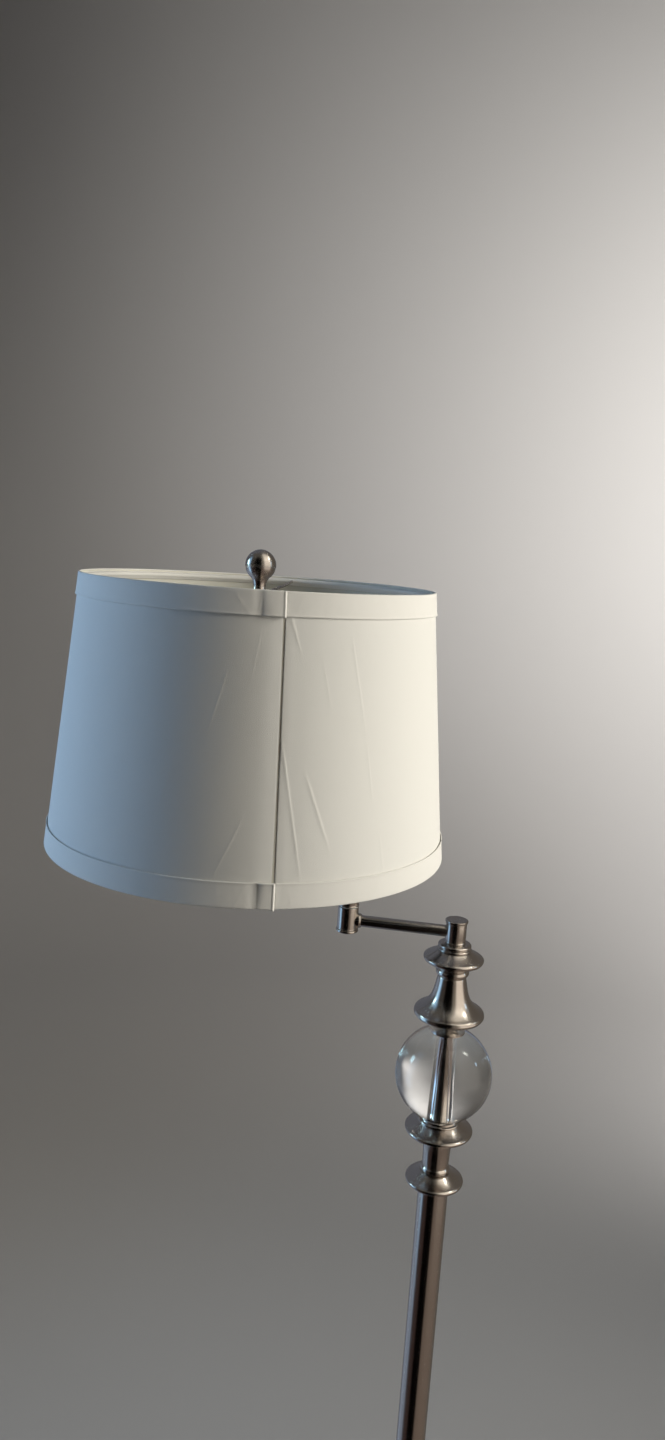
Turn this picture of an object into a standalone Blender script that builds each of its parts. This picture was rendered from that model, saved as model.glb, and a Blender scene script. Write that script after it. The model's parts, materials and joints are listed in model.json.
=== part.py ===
"""Swing-arm floor lamp: a weighted round base, a two-piece pole, a column head of
turned nickel pieces round a glass ball, two hinged arms, and a lamp holder whose
harp carries a tapered drum shade. Run it with
    blender --background --python part.py
or from Blender's text editor. Units are metres, +Z is up, and the origin is where
the pole's axis meets the floor. The arms lie along -X, fully extended.
"""

import math

import bmesh
import bpy
from mathutils import Matrix, Vector

# ---------------------------------------------------------------- clearances
GAP = 0.0003            # between faces that touch on the real lamp
TURNING_GAP = 0.0004    # radial gap of a bore round a pin that turns in it

# ---------------------------------------------------------------- base
BASE_RADIUS, BASE_HEIGHT, BASE_WALL = 0.140, 0.034, 0.0015
PAD_RADIUS, PAD_THICKNESS = BASE_RADIUS - 0.006, 0.003
BASE_SKIRT = 0.0095                   # height of the base's upright edge
BASE_STEP = 0.0115                    # width of the ledge between edge and dome
BASE_DOME_TOP = 0.042                 # radius of the flat that the foot stands on
WEIGHT_EDGE, WEIGHT_CROWN = 0.010, 0.0245
NUT_RECESS_RADIUS, NUT_RECESS_DEPTH = 0.017, 0.0095
BUSHING_BORE, BUSHING_SLEEVE, BUSHING_FLANGE = 0.0024, 0.0035, 0.0045
BUSHING_HEIGHT, BUSHING_LIP, BUSHING_LENGTH = 0.0088, 0.0014, 0.006

# ---------------------------------------------------------------- rods and nuts
ROD_RADIUS, ROD_BORE = 0.0048, 0.0034
NUT_RADIUS, NUT_THICKNESS = 0.0080, 0.005      # radius over the corners
WASHER_RADIUS, WASHER_THICKNESS = 0.0125, 0.0015

# ---------------------------------------------------------------- pole
POLE_RADIUS, POLE_WALL = 0.015, 0.0012
LOWER_POLE_LENGTH, UPPER_POLE_LENGTH = 0.410, 0.390
PLUG_THICKNESS = 0.010
JOINT_RING_LIP, JOINT_RING_HEIGHT, JOINT_SPIGOT = 0.0013, 0.006, 0.014
FOOT_HEIGHT, FOOT_RADIUS, FOOT_POCKET = 0.046, 0.038, 0.012

# ---------------------------------------------------------------- column head
LOWER_DISC_RADIUS, LOWER_DISC_HEIGHT = 0.0289, 0.0185
SPOOL_NECK, SPOOL_FOOT, SPOOL_TOP, SPOOL_HEIGHT = 0.0133, 0.0134, 0.0170, 0.0366
DISH_RADIUS, DISH_HEIGHT = 0.0335, 0.0221
BALL_RADIUS, BALL_BORE = 0.0473, 0.0073
BALL_SEAT = 0.016                     # radius of the ring that the ball rests on
BALL_TUBE_RADIUS, BALL_TUBE_WALL = 0.00635, 0.0011
SEAT_DEPTH = 0.004                    # how deep the seats are hollowed for the ball
BELL_RADIUS, BELL_NECK, BELL_HEIGHT = 0.0340, 0.0136, 0.0569
BEAD_RADIUS, BEAD_HEIGHT = 0.0143, 0.0083
TOP_DISC_RADIUS, TOP_DISC_HEIGHT = 0.0291, 0.0173
PIVOT_SEAT_RADIUS, PIVOT_SEAT_HEIGHT = 0.0157, 0.0072

# ---------------------------------------------------------------- arms
ARM_LENGTH = 0.105                    # pivot to pivot, the same for both arms
ARM_TUBE_RADIUS, ARM_TUBE_BORE = 0.0056, 0.0046
HUB_RADIUS, HUB_HEIGHT = 0.0100, 0.0195
HUB_ARM_HEIGHT = 0.0100               # the arm's axis above its hub's lower face
KNUCKLE_HEIGHT, KNUCKLE_ARM_HEIGHT = 0.0222, 0.0085   # the lower half of the knuckle
HUB_POCKET = 0.0072                   # where the arm's end stops, from the pivot
HUB_COUNTERBORE, HUB_COUNTERBORE_DEPTH = HUB_POCKET - 0.0001, 0.0060
CAP_RADIUS, CAP_HEIGHT = HUB_RADIUS + 0.0010, 0.0027
POST_RADIUS, PIN_RADIUS = 0.0050, 0.0042
PIN_HEAD_RADIUS, PIN_HEAD_HEIGHT, PIN_BORE = 0.0062, 0.0036, 0.0027
PIVOT_NUT_RADIUS, PIVOT_NUT_THICKNESS = 0.0064, 0.0040
KNUCKLE_WASHER = 0.0006
BOSS_RADIUS, BOSS_REACH = 0.0070, 0.0035   # round boss where the arm meets the knuckle

# ---------------------------------------------------------------- lamp holder
RISER_RADIUS, RISER_HEIGHT = 0.0075, 0.0153
SADDLE_THICKNESS, SADDLE_WIDTH, SADDLE_CENTRE = 0.0015, 0.012, 0.009
PRONG_SHOULDER, PRONG_HEIGHT, PRONG_TIP_WIDTH = 0.0100, 0.0175, 0.0040
SOCKET_RADIUS, SOCKET_WALL, SOCKET_HEIGHT = 0.0170, 0.0007, 0.0492
SOCKET_CAP_RADIUS, SOCKET_CAP_HEIGHT, SOCKET_CAP_WALL = SOCKET_RADIUS + 0.0006, 0.0144, 0.0009
LINER_WALL, LINER_RISE = 0.0007, 0.0020
SWITCH_BLOCK_HEIGHT = 0.0160
SCREW_SHELL_RADIUS, SCREW_SHELL_WALL, SCREW_SHELL_HEIGHT = 0.0143, 0.0007, 0.0292
SWITCH_SHAFT_RADIUS, SWITCH_SHAFT_START, SWITCH_SHAFT_END = 0.0016, 0.0100, SOCKET_RADIUS + 0.0160
KNOB_RADIUS, KNOB_LENGTH, KNOB_HOLE_DEPTH = 0.0068, 0.0140, 0.0120
KNOB_START = SOCKET_RADIUS + 0.0045
KNOB_END = KNOB_START + KNOB_LENGTH

# ---------------------------------------------------------------- bulb
BULB_BASE_RADIUS, BULB_BASE_HEIGHT = 0.0130, 0.0265
BULB_NECK, BULB_RADIUS, BULB_HEIGHT, BULB_WALL = 0.0122, 0.0300, 0.0850, 0.0009
BULB_WIDEST = 0.0560                  # height of the widest point above the neck

# ---------------------------------------------------------------- harp
HARP_WIRE, HARP_FOOT, HARP_HALF_WIDTH = 0.0016, 0.028, 0.056
HARP_HEIGHT, HARP_STRAIGHT = 0.235, 0.024
SLEEVE_RADIUS, SLEEVE_BORE, SLEEVE_LENGTH = 0.0039, 0.0029, 0.0165
STUD_FLANGE_RADIUS, STUD_FLANGE_HEIGHT = 0.0080, 0.0016
STUD_RADIUS, STUD_LENGTH = 0.0030, 0.0190

# ---------------------------------------------------------------- shade
SHADE_TOP_RADIUS, SHADE_BOTTOM_RADIUS, SHADE_HEIGHT = 0.1651, 0.1905, 0.2527
TRIM_HEIGHT, TRIM_THICKNESS, TRIM_FLAP = 0.019, 0.0007, 0.0033
FABRIC_THICKNESS, LINER_THICKNESS = 0.0006, 0.0008
SHADE_WIRE = 0.0015
SPIDER_DROP = 0.0119                  # washer's top below the shade's top edge
SPIDER_WASHER_RADIUS, SPIDER_WASHER_HOLE, SPIDER_WASHER = 0.0120, 0.0036, 0.0015
SPIDER_ARMS, SPIDER_TURN = 3, math.radians(90)

# ---------------------------------------------------------------- finial
FINIAL_BALL_RADIUS, FINIAL_NECK, FINIAL_FOOT = 0.0145, 0.0056, 0.0070
FINIAL_STEM = 0.0148                  # foot to where the ball starts
FINIAL_BORE_DEPTH = 0.0178

# ---------------------------------------------------------------- mesh fineness
LARGE, COLUMN, SMALL, TINY = 36, 20, 12, 10   # facets round a turned piece
CURVE_STEPS = 2                               # straight pieces in each turned arc

# ---------------------------------------------------------------- heights, floor upwards
BORE = ROD_RADIUS + GAP
cover_z = PAD_THICKNESS + GAP
foot_z = cover_z + BASE_HEIGHT + GAP
lower_pole_z = foot_z + FOOT_HEIGHT - FOOT_POCKET + GAP
joint_z = lower_pole_z + LOWER_POLE_LENGTH + GAP
upper_pole_z = joint_z + JOINT_RING_HEIGHT + GAP
lower_disc_z = upper_pole_z + UPPER_POLE_LENGTH + GAP
spool_z = lower_disc_z + LOWER_DISC_HEIGHT + GAP
dish_z = spool_z + SPOOL_HEIGHT + GAP
ball_rise = math.sqrt(BALL_RADIUS**2 - BALL_SEAT**2)
ball_z = dish_z + DISH_HEIGHT + GAP + ball_rise
bell_z = ball_z + ball_rise + GAP
bead_z = bell_z + BELL_HEIGHT + GAP
top_disc_z = bead_z + BEAD_HEIGHT + GAP
pivot_seat_z = top_disc_z + TOP_DISC_HEIGHT + GAP
hub_z = pivot_seat_z + PIVOT_SEAT_HEIGHT + GAP
inner_arm_z = hub_z + HUB_ARM_HEIGHT
pivot_cap_z = hub_z + HUB_HEIGHT + GAP
lower_knuckle_z = inner_arm_z - KNUCKLE_ARM_HEIGHT
knuckle_washer_z = lower_knuckle_z + KNUCKLE_HEIGHT + GAP
upper_knuckle_z = knuckle_washer_z + KNUCKLE_WASHER + GAP
outer_arm_z = upper_knuckle_z + HUB_HEIGHT - HUB_ARM_HEIGHT
end_hub_z = outer_arm_z - HUB_ARM_HEIGHT
riser_z = end_hub_z + HUB_HEIGHT + GAP
saddle_z = riser_z + RISER_HEIGHT + GAP
socket_cap_z = saddle_z + SADDLE_THICKNESS + GAP
socket_z = socket_cap_z + SOCKET_CAP_HEIGHT + GAP
switch_block_z = socket_z + 2 * GAP
switch_z = switch_block_z + SWITCH_BLOCK_HEIGHT / 2 + 0.002
screw_shell_z = switch_block_z + SWITCH_BLOCK_HEIGHT + GAP
bulb_base_z = screw_shell_z + SADDLE_THICKNESS
bulb_z = bulb_base_z + BULB_BASE_HEIGHT + GAP
harp_z = saddle_z + PRONG_HEIGHT + 2 * GAP
stud_z = harp_z + HARP_HEIGHT + HARP_WIRE + GAP
spider_z = stud_z + STUD_FLANGE_HEIGHT + GAP
shade_top_z = spider_z + SPIDER_WASHER + SPIDER_DROP
shade_bottom_z = shade_top_z - SHADE_HEIGHT
finial_z = spider_z + SPIDER_WASHER + GAP

SHADE_AXIS_X = -2 * ARM_LENGTH


# ---------------------------------------------------------------- tools
def clear_scene():
    for old in list(bpy.data.objects):
        bpy.data.objects.remove(old)


def material(name, colour, roughness, metallic=0.0, alpha=1.0):
    made = bpy.data.materials.new(name)
    made.use_nodes = True
    shader = made.node_tree.nodes["Principled BSDF"]
    shader.inputs["Base Color"].default_value = (*colour, 1.0)
    shader.inputs["Roughness"].default_value = roughness
    shader.inputs["Metallic"].default_value = metallic
    shader.inputs["Alpha"].default_value = alpha
    return made


def pivot(name, parent=None, location=(0, 0, 0)):
    """An empty on a joint's axis, for the pieces that turn about it."""
    empty = bpy.data.objects.new(name, None)
    bpy.context.scene.collection.objects.link(empty)
    empty.parent = parent
    empty.location = location
    return empty


def place(name, mesh, finish, parent, location=(0, 0, 0)):
    mesh.materials.append(finish)
    mesh.shade_smooth()
    mesh.set_sharp_from_angle(angle=math.radians(35))
    piece = bpy.data.objects.new(name, mesh)
    bpy.context.scene.collection.objects.link(piece)
    piece.parent = parent
    piece.location = location
    return piece


def helper(name, mesh, parent, location=(0, 0, 0)):
    """A solid that only cuts or joins, and isn't a piece of the lamp."""
    piece = bpy.data.objects.new(name, mesh)
    bpy.context.scene.collection.objects.link(piece)
    piece.parent = parent
    piece.location = location
    piece.hide_render = True
    piece.display_type = "WIRE"
    return piece


def combine(piece, other, operation):
    boolean = piece.modifiers.new(other.name, "BOOLEAN")
    boolean.operation = operation
    boolean.solver = "EXACT"
    boolean.object = other
    return piece


def outline(*steps):
    """Points of a turned outline from steps (radius, height) or (radius, height, bow).
    A bow makes the step an arc that stands off its chord by that much, outwards where
    it is positive and hollow where it is negative, on an outline that runs from the
    bore out along the bottom, up the outside and back in along the top."""
    points = [Vector(steps[0])]
    for radius, height, *bow in steps[1:]:
        start, end = points[-1], Vector((radius, height))
        if bow:
            chord = end - start
            outward = Vector((chord.y, -chord.x)).normalized()
            half = chord.length / 2
            arc_radius = (half**2 + bow[0] ** 2) / (2 * abs(bow[0]))
            side = math.copysign(1, bow[0])
            centre = (start + end) / 2 + outward * (bow[0] - side * arc_radius)
            half_sweep = math.asin(min(1.0, half / arc_radius))
            for step in range(1, CURVE_STEPS):
                turn = side * half_sweep * (2 * step / CURVE_STEPS - 1)
                spoke = outward * side * arc_radius
                points.append(centre + Matrix.Rotation(turn, 2) @ spoke)
        points.append(end)
    return points


def turned(points, facets, z=0.0, axis="Z"):
    """A mesh turned from (radius, height) points. An outline that starts and ends on
    the axis is left open there, and any other is closed into a ring."""
    shape = bmesh.new()
    verts = [shape.verts.new((r, 0, z + h)) for r, h in points]
    edges = [shape.edges.new(pair) for pair in zip(verts, verts[1:])]
    if points[0][0] > 0:
        edges.append(shape.edges.new((verts[-1], verts[0])))
    bmesh.ops.spin(
        shape,
        geom=verts + edges,
        cent=(0, 0, 0),
        axis=(0, 0, 1),
        angle=2 * math.pi,
        steps=facets,
        use_duplicate=False,
    )
    bmesh.ops.remove_doubles(shape, verts=shape.verts, dist=1e-6)
    bmesh.ops.recalc_face_normals(shape, faces=shape.faces)
    if axis == "Y":     # heights run along -Y
        shape.transform(Matrix.Rotation(math.radians(90), 4, "X"))
    if axis == "X":     # heights run along -X
        shape.transform(Matrix.Rotation(math.radians(-90), 4, "Y"))
    mesh = bpy.data.meshes.new("turned")
    shape.to_mesh(mesh)
    shape.free()
    return mesh


def tube(outer, inner, length, facets, z=0.0, axis="Z"):
    return turned([(inner, 0), (outer, 0), (outer, length), (inner, length)], facets, z, axis)


def rod(radius, length, facets, z=0.0, axis="Z"):
    return turned([(0, 0), (radius, 0), (radius, length), (0, length)], facets, z, axis)


def bar(a, b, radius, facets):
    """A round bar between two points."""
    start, end = Vector(a), Vector(b)
    mesh = rod(radius, (end - start).length, facets)
    turn = (end - start).to_track_quat("Z", "Y").to_matrix().to_4x4()
    mesh.transform(Matrix.Translation(start) @ turn)
    return mesh


def ring(radius, wire, z, around, sides):
    """A wire bent into a circle."""
    loop = [
        (radius + wire * math.cos(a), wire * math.sin(a))
        for a in (2 * math.pi * k / sides for k in range(sides))
    ]
    return turned(loop, around, z)


def hex_nut(name, z, radius, thickness, bore, finish, parent):
    nut = place(name, rod(radius, thickness, 6, z), finish, parent)
    hole = helper(name + "_hole", rod(bore, thickness + 0.002, COLUMN, z - 0.001), parent)
    return combine(nut, hole, "DIFFERENCE")


def shade_radius(z):
    """Outer radius of the shade at a height."""
    share = (z - shade_bottom_z) / SHADE_HEIGHT
    return SHADE_BOTTOM_RADIUS + (SHADE_TOP_RADIUS - SHADE_BOTTOM_RADIUS) * share


def shade_sheet(low, high, inset, thickness):
    """A band of the shade's cone, inset from its outer face."""
    corners = [
        (shade_radius(low) - inset - thickness, low),
        (shade_radius(low) - inset, low),
        (shade_radius(high) - inset, high),
        (shade_radius(high) - inset - thickness, high),
    ]
    return turned(corners, LARGE)


# ---------------------------------------------------------------- finishes
clear_scene()
nickel = material("brushed_nickel", (0.46, 0.43, 0.40), 0.28, 1.0)
steel = material("zinc_steel", (0.55, 0.55, 0.55), 0.40, 1.0)
iron = material("cast_iron", (0.07, 0.07, 0.07), 0.80, 0.6)
felt = material("black_pad", (0.02, 0.02, 0.02), 0.95)
plastic = material("black_plastic", (0.025, 0.025, 0.025), 0.45)
nylon = material("nylon", (0.75, 0.74, 0.70), 0.50)
glass = material("clear_glass", (0.92, 0.94, 0.93), 0.02, 0.0, 0.35)
frosted = material("frosted_bulb", (0.93, 0.92, 0.88), 0.50)
aluminium = material("aluminium", (0.78, 0.78, 0.78), 0.35, 1.0)
linen = material("shade_fabric", (0.86, 0.84, 0.77), 0.90)
trim = material("shade_trim", (0.89, 0.87, 0.80), 0.90)
styrene = material("shade_liner", (0.88, 0.85, 0.76), 0.60)
card = material("socket_liner", (0.80, 0.76, 0.66), 0.85)

stand = pivot("stand")
inner_arm = pivot("inner_arm_pivot", stand)
outer_arm = pivot("outer_arm_pivot", inner_arm, (-ARM_LENGTH, 0, 0))
holder = pivot("holder_axis", outer_arm, (-ARM_LENGTH, 0, 0))
switch = pivot("switch_axis", holder, (0, 0, switch_z))
bulb = pivot("bulb_axis", holder)
shade = pivot("shade_axis", holder)
finial_axis = pivot("finial_axis", holder)


def build_base():
    place("base_pad", rod(PAD_RADIUS, PAD_THICKNESS, LARGE), felt, stand)

    ledge = BASE_RADIUS - BASE_STEP
    shoulder = BASE_SKIRT + 0.0050
    cover = outline(
        (BASE_RADIUS - BASE_WALL, 0),
        (BASE_RADIUS, 0),
        (BASE_RADIUS, BASE_SKIRT),
        (BASE_RADIUS - 0.0045, shoulder - 0.0005, 0.0013),
        (ledge, shoulder),
        (ledge - 0.0015, shoulder + 0.0035, -0.0004),
        (BASE_DOME_TOP + 0.002, BASE_HEIGHT - 0.0015, 0.0035),
        (BASE_DOME_TOP, BASE_HEIGHT),
        (BORE, BASE_HEIGHT),
        (BORE, BASE_HEIGHT - BASE_WALL),
        (BASE_DOME_TOP, BASE_HEIGHT - BASE_WALL - 0.0015, -0.0003),
        (ledge - 0.0020, shoulder + 0.0035 - BASE_WALL, -0.0033),
        (ledge - 0.0015, shoulder - BASE_WALL),
        (BASE_RADIUS - 0.0050, shoulder - 0.0005 - BASE_WALL),
        (BASE_RADIUS - BASE_WALL, BASE_SKIRT - 0.0005),
    )
    cover_piece = place("base_cover", turned(cover, LARGE, cover_z), nickel, stand)
    hole_start = BASE_RADIUS - 0.008
    hole = helper(
        "cord_hole", bar((0, hole_start, BUSHING_HEIGHT), (0, BASE_RADIUS + 0.004, BUSHING_HEIGHT),
                         BUSHING_SLEEVE + GAP, SMALL), stand)
    combine(cover_piece, hole, "DIFFERENCE")

    bushing = outline(
        (BUSHING_BORE, 0),
        (BUSHING_SLEEVE, 0),
        (BUSHING_SLEEVE, BUSHING_LENGTH - BUSHING_LIP),
        (BUSHING_FLANGE, BUSHING_LENGTH - BUSHING_LIP),
        (BUSHING_FLANGE - 0.0005, BUSHING_LENGTH, 0.0003),
        (BUSHING_BORE, BUSHING_LENGTH),
    )
    bushing_mesh = turned(bushing, SMALL)
    bushing_mesh.transform(Matrix.Rotation(math.radians(-90), 4, "X"))
    place("cord_bushing", bushing_mesh, plastic, stand,
          (0, BASE_RADIUS + GAP - BUSHING_LENGTH + BUSHING_LIP, BUSHING_HEIGHT))

    edge = BASE_RADIUS - BASE_STEP - 0.0035
    weight = outline(
        (BORE, NUT_RECESS_DEPTH),
        (NUT_RECESS_RADIUS, NUT_RECESS_DEPTH),
        (NUT_RECESS_RADIUS, 0),
        (edge, 0),
        (edge, WEIGHT_EDGE),
        (BASE_DOME_TOP, WEIGHT_CROWN, 0.0020),
        (BORE, WEIGHT_CROWN),
    )
    place("base_weight", turned(weight, LARGE, cover_z), iron, stand)

    washer_z = cover_z + NUT_RECESS_DEPTH - GAP - WASHER_THICKNESS
    place("base_washer", tube(WASHER_RADIUS, BORE, WASHER_THICKNESS, SMALL, washer_z), steel, stand)
    hex_nut("base_nut", washer_z - GAP - NUT_THICKNESS, NUT_RADIUS, NUT_THICKNESS, BORE, steel, stand)
    stud_low = PAD_THICKNESS + 0.002
    stud_high = lower_pole_z + 0.004
    place("base_stud", tube(ROD_RADIUS, ROD_BORE, stud_high - stud_low, TINY, stud_low), steel, stand)


def build_pole():
    inner = POLE_RADIUS - POLE_WALL
    pocket_floor = FOOT_HEIGHT - FOOT_POCKET
    foot = outline(
        (BORE, 0),
        (FOOT_RADIUS - 0.002, 0),
        (FOOT_RADIUS, 0.003, 0.0007),
        (FOOT_RADIUS - 0.002, 0.006, 0.0007),
        (0.0205, 0.0200, -0.0040),
        (0.0200, 0.0260, 0.0014),
        (0.0180, 0.0270),
        (0.0180, 0.0400, -0.0006),
        (0.0190, 0.0430, 0.0006),
        (0.0175, FOOT_HEIGHT, 0.0006),
        (POLE_RADIUS + GAP, FOOT_HEIGHT),
        (POLE_RADIUS + GAP, pocket_floor),
        (BORE, pocket_floor),
    )
    place("foot_collar", turned(foot, COLUMN, foot_z), nickel, stand)
    place("lower_pole", tube(POLE_RADIUS, inner, LOWER_POLE_LENGTH, COLUMN, lower_pole_z), nickel, stand)

    spigot = inner - GAP
    joint = outline(
        (BORE, -JOINT_SPIGOT),
        (spigot, -JOINT_SPIGOT),
        (spigot, 0),
        (POLE_RADIUS + JOINT_RING_LIP - 0.0010, 0),
        (POLE_RADIUS + JOINT_RING_LIP - 0.0010, JOINT_RING_HEIGHT, 0.0010),
        (spigot, JOINT_RING_HEIGHT),
        (spigot, JOINT_RING_HEIGHT + JOINT_SPIGOT),
        (BORE, JOINT_RING_HEIGHT + JOINT_SPIGOT),
    )
    place("pole_joint", turned(joint, COLUMN, joint_z), nickel, stand)
    place("upper_pole", tube(POLE_RADIUS, inner, UPPER_POLE_LENGTH, COLUMN, upper_pole_z), nickel, stand)
    plug_z = upper_pole_z + UPPER_POLE_LENGTH - PLUG_THICKNESS
    place("upper_pole_plug", tube(inner - GAP, BORE, PLUG_THICKNESS, SMALL, plug_z), steel, stand)

    rod_low = plug_z - 0.004
    rod_high = pivot_seat_z - GAP - 0.006
    place("column_rod", tube(ROD_RADIUS, ROD_BORE, rod_high - rod_low, TINY, rod_low), steel, stand)
    return rod_high


def build_column_head(rod_high):
    disc = outline(
        (BORE, 0),
        (0.0150, 0),
        (LOWER_DISC_RADIUS - 0.0030, 0.0060, 0.0006),
        (LOWER_DISC_RADIUS, 0.0092, 0.0007),
        (LOWER_DISC_RADIUS - 0.0018, 0.0116, 0.0006),
        (0.0165, LOWER_DISC_HEIGHT - 0.0010, -0.0005),
        (0.0152, LOWER_DISC_HEIGHT, 0.0003),
        (BORE, LOWER_DISC_HEIGHT),
    )
    place("lower_disc", turned(disc, COLUMN, lower_disc_z), nickel, stand)

    spool = outline(
        (BORE, 0),
        (SPOOL_FOOT, 0),
        (SPOOL_FOOT, 0.0058, 0.0012),
        (SPOOL_NECK, 0.0080, -0.0001),
        (SPOOL_NECK + 0.0002, 0.0200),
        (SPOOL_TOP, SPOOL_HEIGHT, -0.0008),
        (BORE, SPOOL_HEIGHT),
    )
    place("spool", turned(spool, COLUMN, spool_z), nickel, stand)

    dish = outline(
        (BORE, 0),
        (0.0173, 0),
        (DISH_RADIUS - 0.0030, 0.0049, 0.0008),
        (DISH_RADIUS, 0.0080, 0.0007),
        (DISH_RADIUS - 0.0018, 0.0105, 0.0006),
        (BALL_SEAT + 0.0030, DISH_HEIGHT - 0.0010, -0.0010),
        (BALL_SEAT + 0.0012, DISH_HEIGHT, 0.0003),
        (BALL_SEAT, DISH_HEIGHT),
        (BALL_SEAT - 0.0015, DISH_HEIGHT - SEAT_DEPTH),
        (BORE, DISH_HEIGHT - SEAT_DEPTH),
    )
    place("ball_dish", turned(dish, COLUMN, dish_z), nickel, stand)

    bore_rise = math.sqrt(BALL_RADIUS**2 - BALL_BORE**2)
    low_angle = math.atan2(-bore_rise, BALL_BORE)
    rings = 10
    ball = [
        (BALL_RADIUS * math.cos(a), BALL_RADIUS * math.sin(a))
        for a in (low_angle * (1 - 2 * k / rings) for k in range(rings + 1))
    ]
    place("glass_ball", turned(ball, COLUMN, ball_z), glass, stand)

    tube_low = dish_z + DISH_HEIGHT - SEAT_DEPTH + GAP
    tube_high = bell_z + SEAT_DEPTH - GAP
    place("ball_tube", tube(BALL_TUBE_RADIUS, BALL_TUBE_RADIUS - BALL_TUBE_WALL,
                            tube_high - tube_low, SMALL, tube_low), nickel, stand)

    bell = outline(
        (BORE, SEAT_DEPTH),
        (BALL_SEAT - 0.0015, SEAT_DEPTH),
        (BALL_SEAT, 0),
        (BALL_SEAT + 0.0014, 0),
        (BELL_RADIUS - 0.0060, 0.0132, -0.0015),
        (BELL_RADIUS - 0.0024, 0.0152),
        (BELL_RADIUS, 0.0190, 0.0007),
        (BELL_RADIUS - 0.0018, 0.0222, 0.0006),
        (0.0203, 0.0326, -0.0017),
        (BELL_NECK, BELL_HEIGHT, -0.0017),
        (BORE, BELL_HEIGHT),
    )
    place("bell", turned(bell, COLUMN, bell_z), nickel, stand)

    bead = outline((BORE, 0), (BEAD_RADIUS, 0), (BEAD_RADIUS, BEAD_HEIGHT, 0.0018), (BORE, BEAD_HEIGHT))
    place("bead_ring", turned(bead, COLUMN, bead_z), nickel, stand)

    post_bore = POST_RADIUS + GAP
    top_disc = outline(
        (post_bore, 0),
        (0.0150, 0),
        (TOP_DISC_RADIUS - 0.0030, 0.0054, 0.0006),
        (TOP_DISC_RADIUS, 0.0088, 0.0007),
        (TOP_DISC_RADIUS - 0.0020, 0.0113, 0.0006),
        (0.0172, TOP_DISC_HEIGHT - 0.0007, -0.0003),
        (0.0162, TOP_DISC_HEIGHT, 0.0003),
        (post_bore, TOP_DISC_HEIGHT),
    )
    place("top_disc", turned(top_disc, COLUMN, top_disc_z), nickel, stand)

    seat = outline(
        (post_bore, 0),
        (PIVOT_SEAT_RADIUS, 0),
        (PIVOT_SEAT_RADIUS, 0.0024, 0.0006),
        (PIVOT_SEAT_RADIUS - 0.0009, 0.0027),
        (PIVOT_SEAT_RADIUS - 0.0014, 0.0064, 0.0014),
        (HUB_RADIUS + 0.0004, PIVOT_SEAT_HEIGHT),
        (post_bore, PIVOT_SEAT_HEIGHT),
    )
    place("pivot_seat", turned(seat, COLUMN, pivot_seat_z), nickel, stand)

    post_low, post_high = rod_high + GAP, pivot_cap_z - 2 * GAP
    place("pivot_post", tube(POST_RADIUS, PIN_BORE, post_high - post_low, SMALL, post_low), steel, stand)
    hex_nut("pivot_nut", post_high - PIVOT_NUT_THICKNESS, PIVOT_NUT_RADIUS,
            PIVOT_NUT_THICKNESS, post_bore, steel, stand)


def hub(name, z, height, pin, counterbore_up, arm_height, arm_side, parent, boss=False):
    """A pivot's round housing: bored for its pin, with a recess for the pin's head or
    nut at one end and a side pocket that holds the end of an arm."""
    bore = pin + TURNING_GAP
    recess = height - HUB_COUNTERBORE_DEPTH
    if counterbore_up:
        points = [(bore, 0), (HUB_RADIUS, 0), (HUB_RADIUS, height),
                  (HUB_COUNTERBORE, height), (HUB_COUNTERBORE, recess), (bore, recess)]
    else:
        points = [(HUB_COUNTERBORE, 0), (HUB_RADIUS, 0), (HUB_RADIUS, height),
                  (bore, height), (bore, HUB_COUNTERBORE_DEPTH),
                  (HUB_COUNTERBORE, HUB_COUNTERBORE_DEPTH)]
    piece = place(name, turned(points, COLUMN, z), nickel, parent)
    if boss:
        reach = arm_side * (HUB_RADIUS + BOSS_REACH)
        root = arm_side * (HUB_COUNTERBORE + 0.0010)
        knob = helper(name + "_boss", bar((root, 0, arm_height), (reach, 0, arm_height),
                                          BOSS_RADIUS, SMALL), parent)
        combine(piece, knob, "UNION")
    pocket = helper(
        name + "_pocket", bar((arm_side * (HUB_POCKET - GAP), 0, arm_height),
                              (arm_side * (HUB_RADIUS + 2 * BOSS_REACH), 0, arm_height),
                              ARM_TUBE_RADIUS + GAP, SMALL), parent)
    return combine(piece, pocket, "DIFFERENCE")


def cap(name, z, parent, upwards=True):
    """The lipped disc that closes a hub."""
    lip = outline(
        (0, 0),
        (CAP_RADIUS - 0.0006, 0),
        (CAP_RADIUS, 0.0008, 0.0002),
        (CAP_RADIUS, 0.0018),
        (CAP_RADIUS - 0.0009, CAP_HEIGHT, 0.0003),
        (0, CAP_HEIGHT),
    )
    if not upwards:
        lip = [(r, CAP_HEIGHT - h) for r, h in reversed(lip)]
    place(name, turned(lip, COLUMN, z), nickel, parent)


def arm_tube(name, z, parent):
    """A tube that runs from one hub's pocket to the next hub's, towards -X."""
    mesh = tube(ARM_TUBE_RADIUS, ARM_TUBE_BORE, ARM_LENGTH - 2 * HUB_POCKET, SMALL, HUB_POCKET, "X")
    place(name, mesh, nickel, parent, (0, 0, z))


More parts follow.
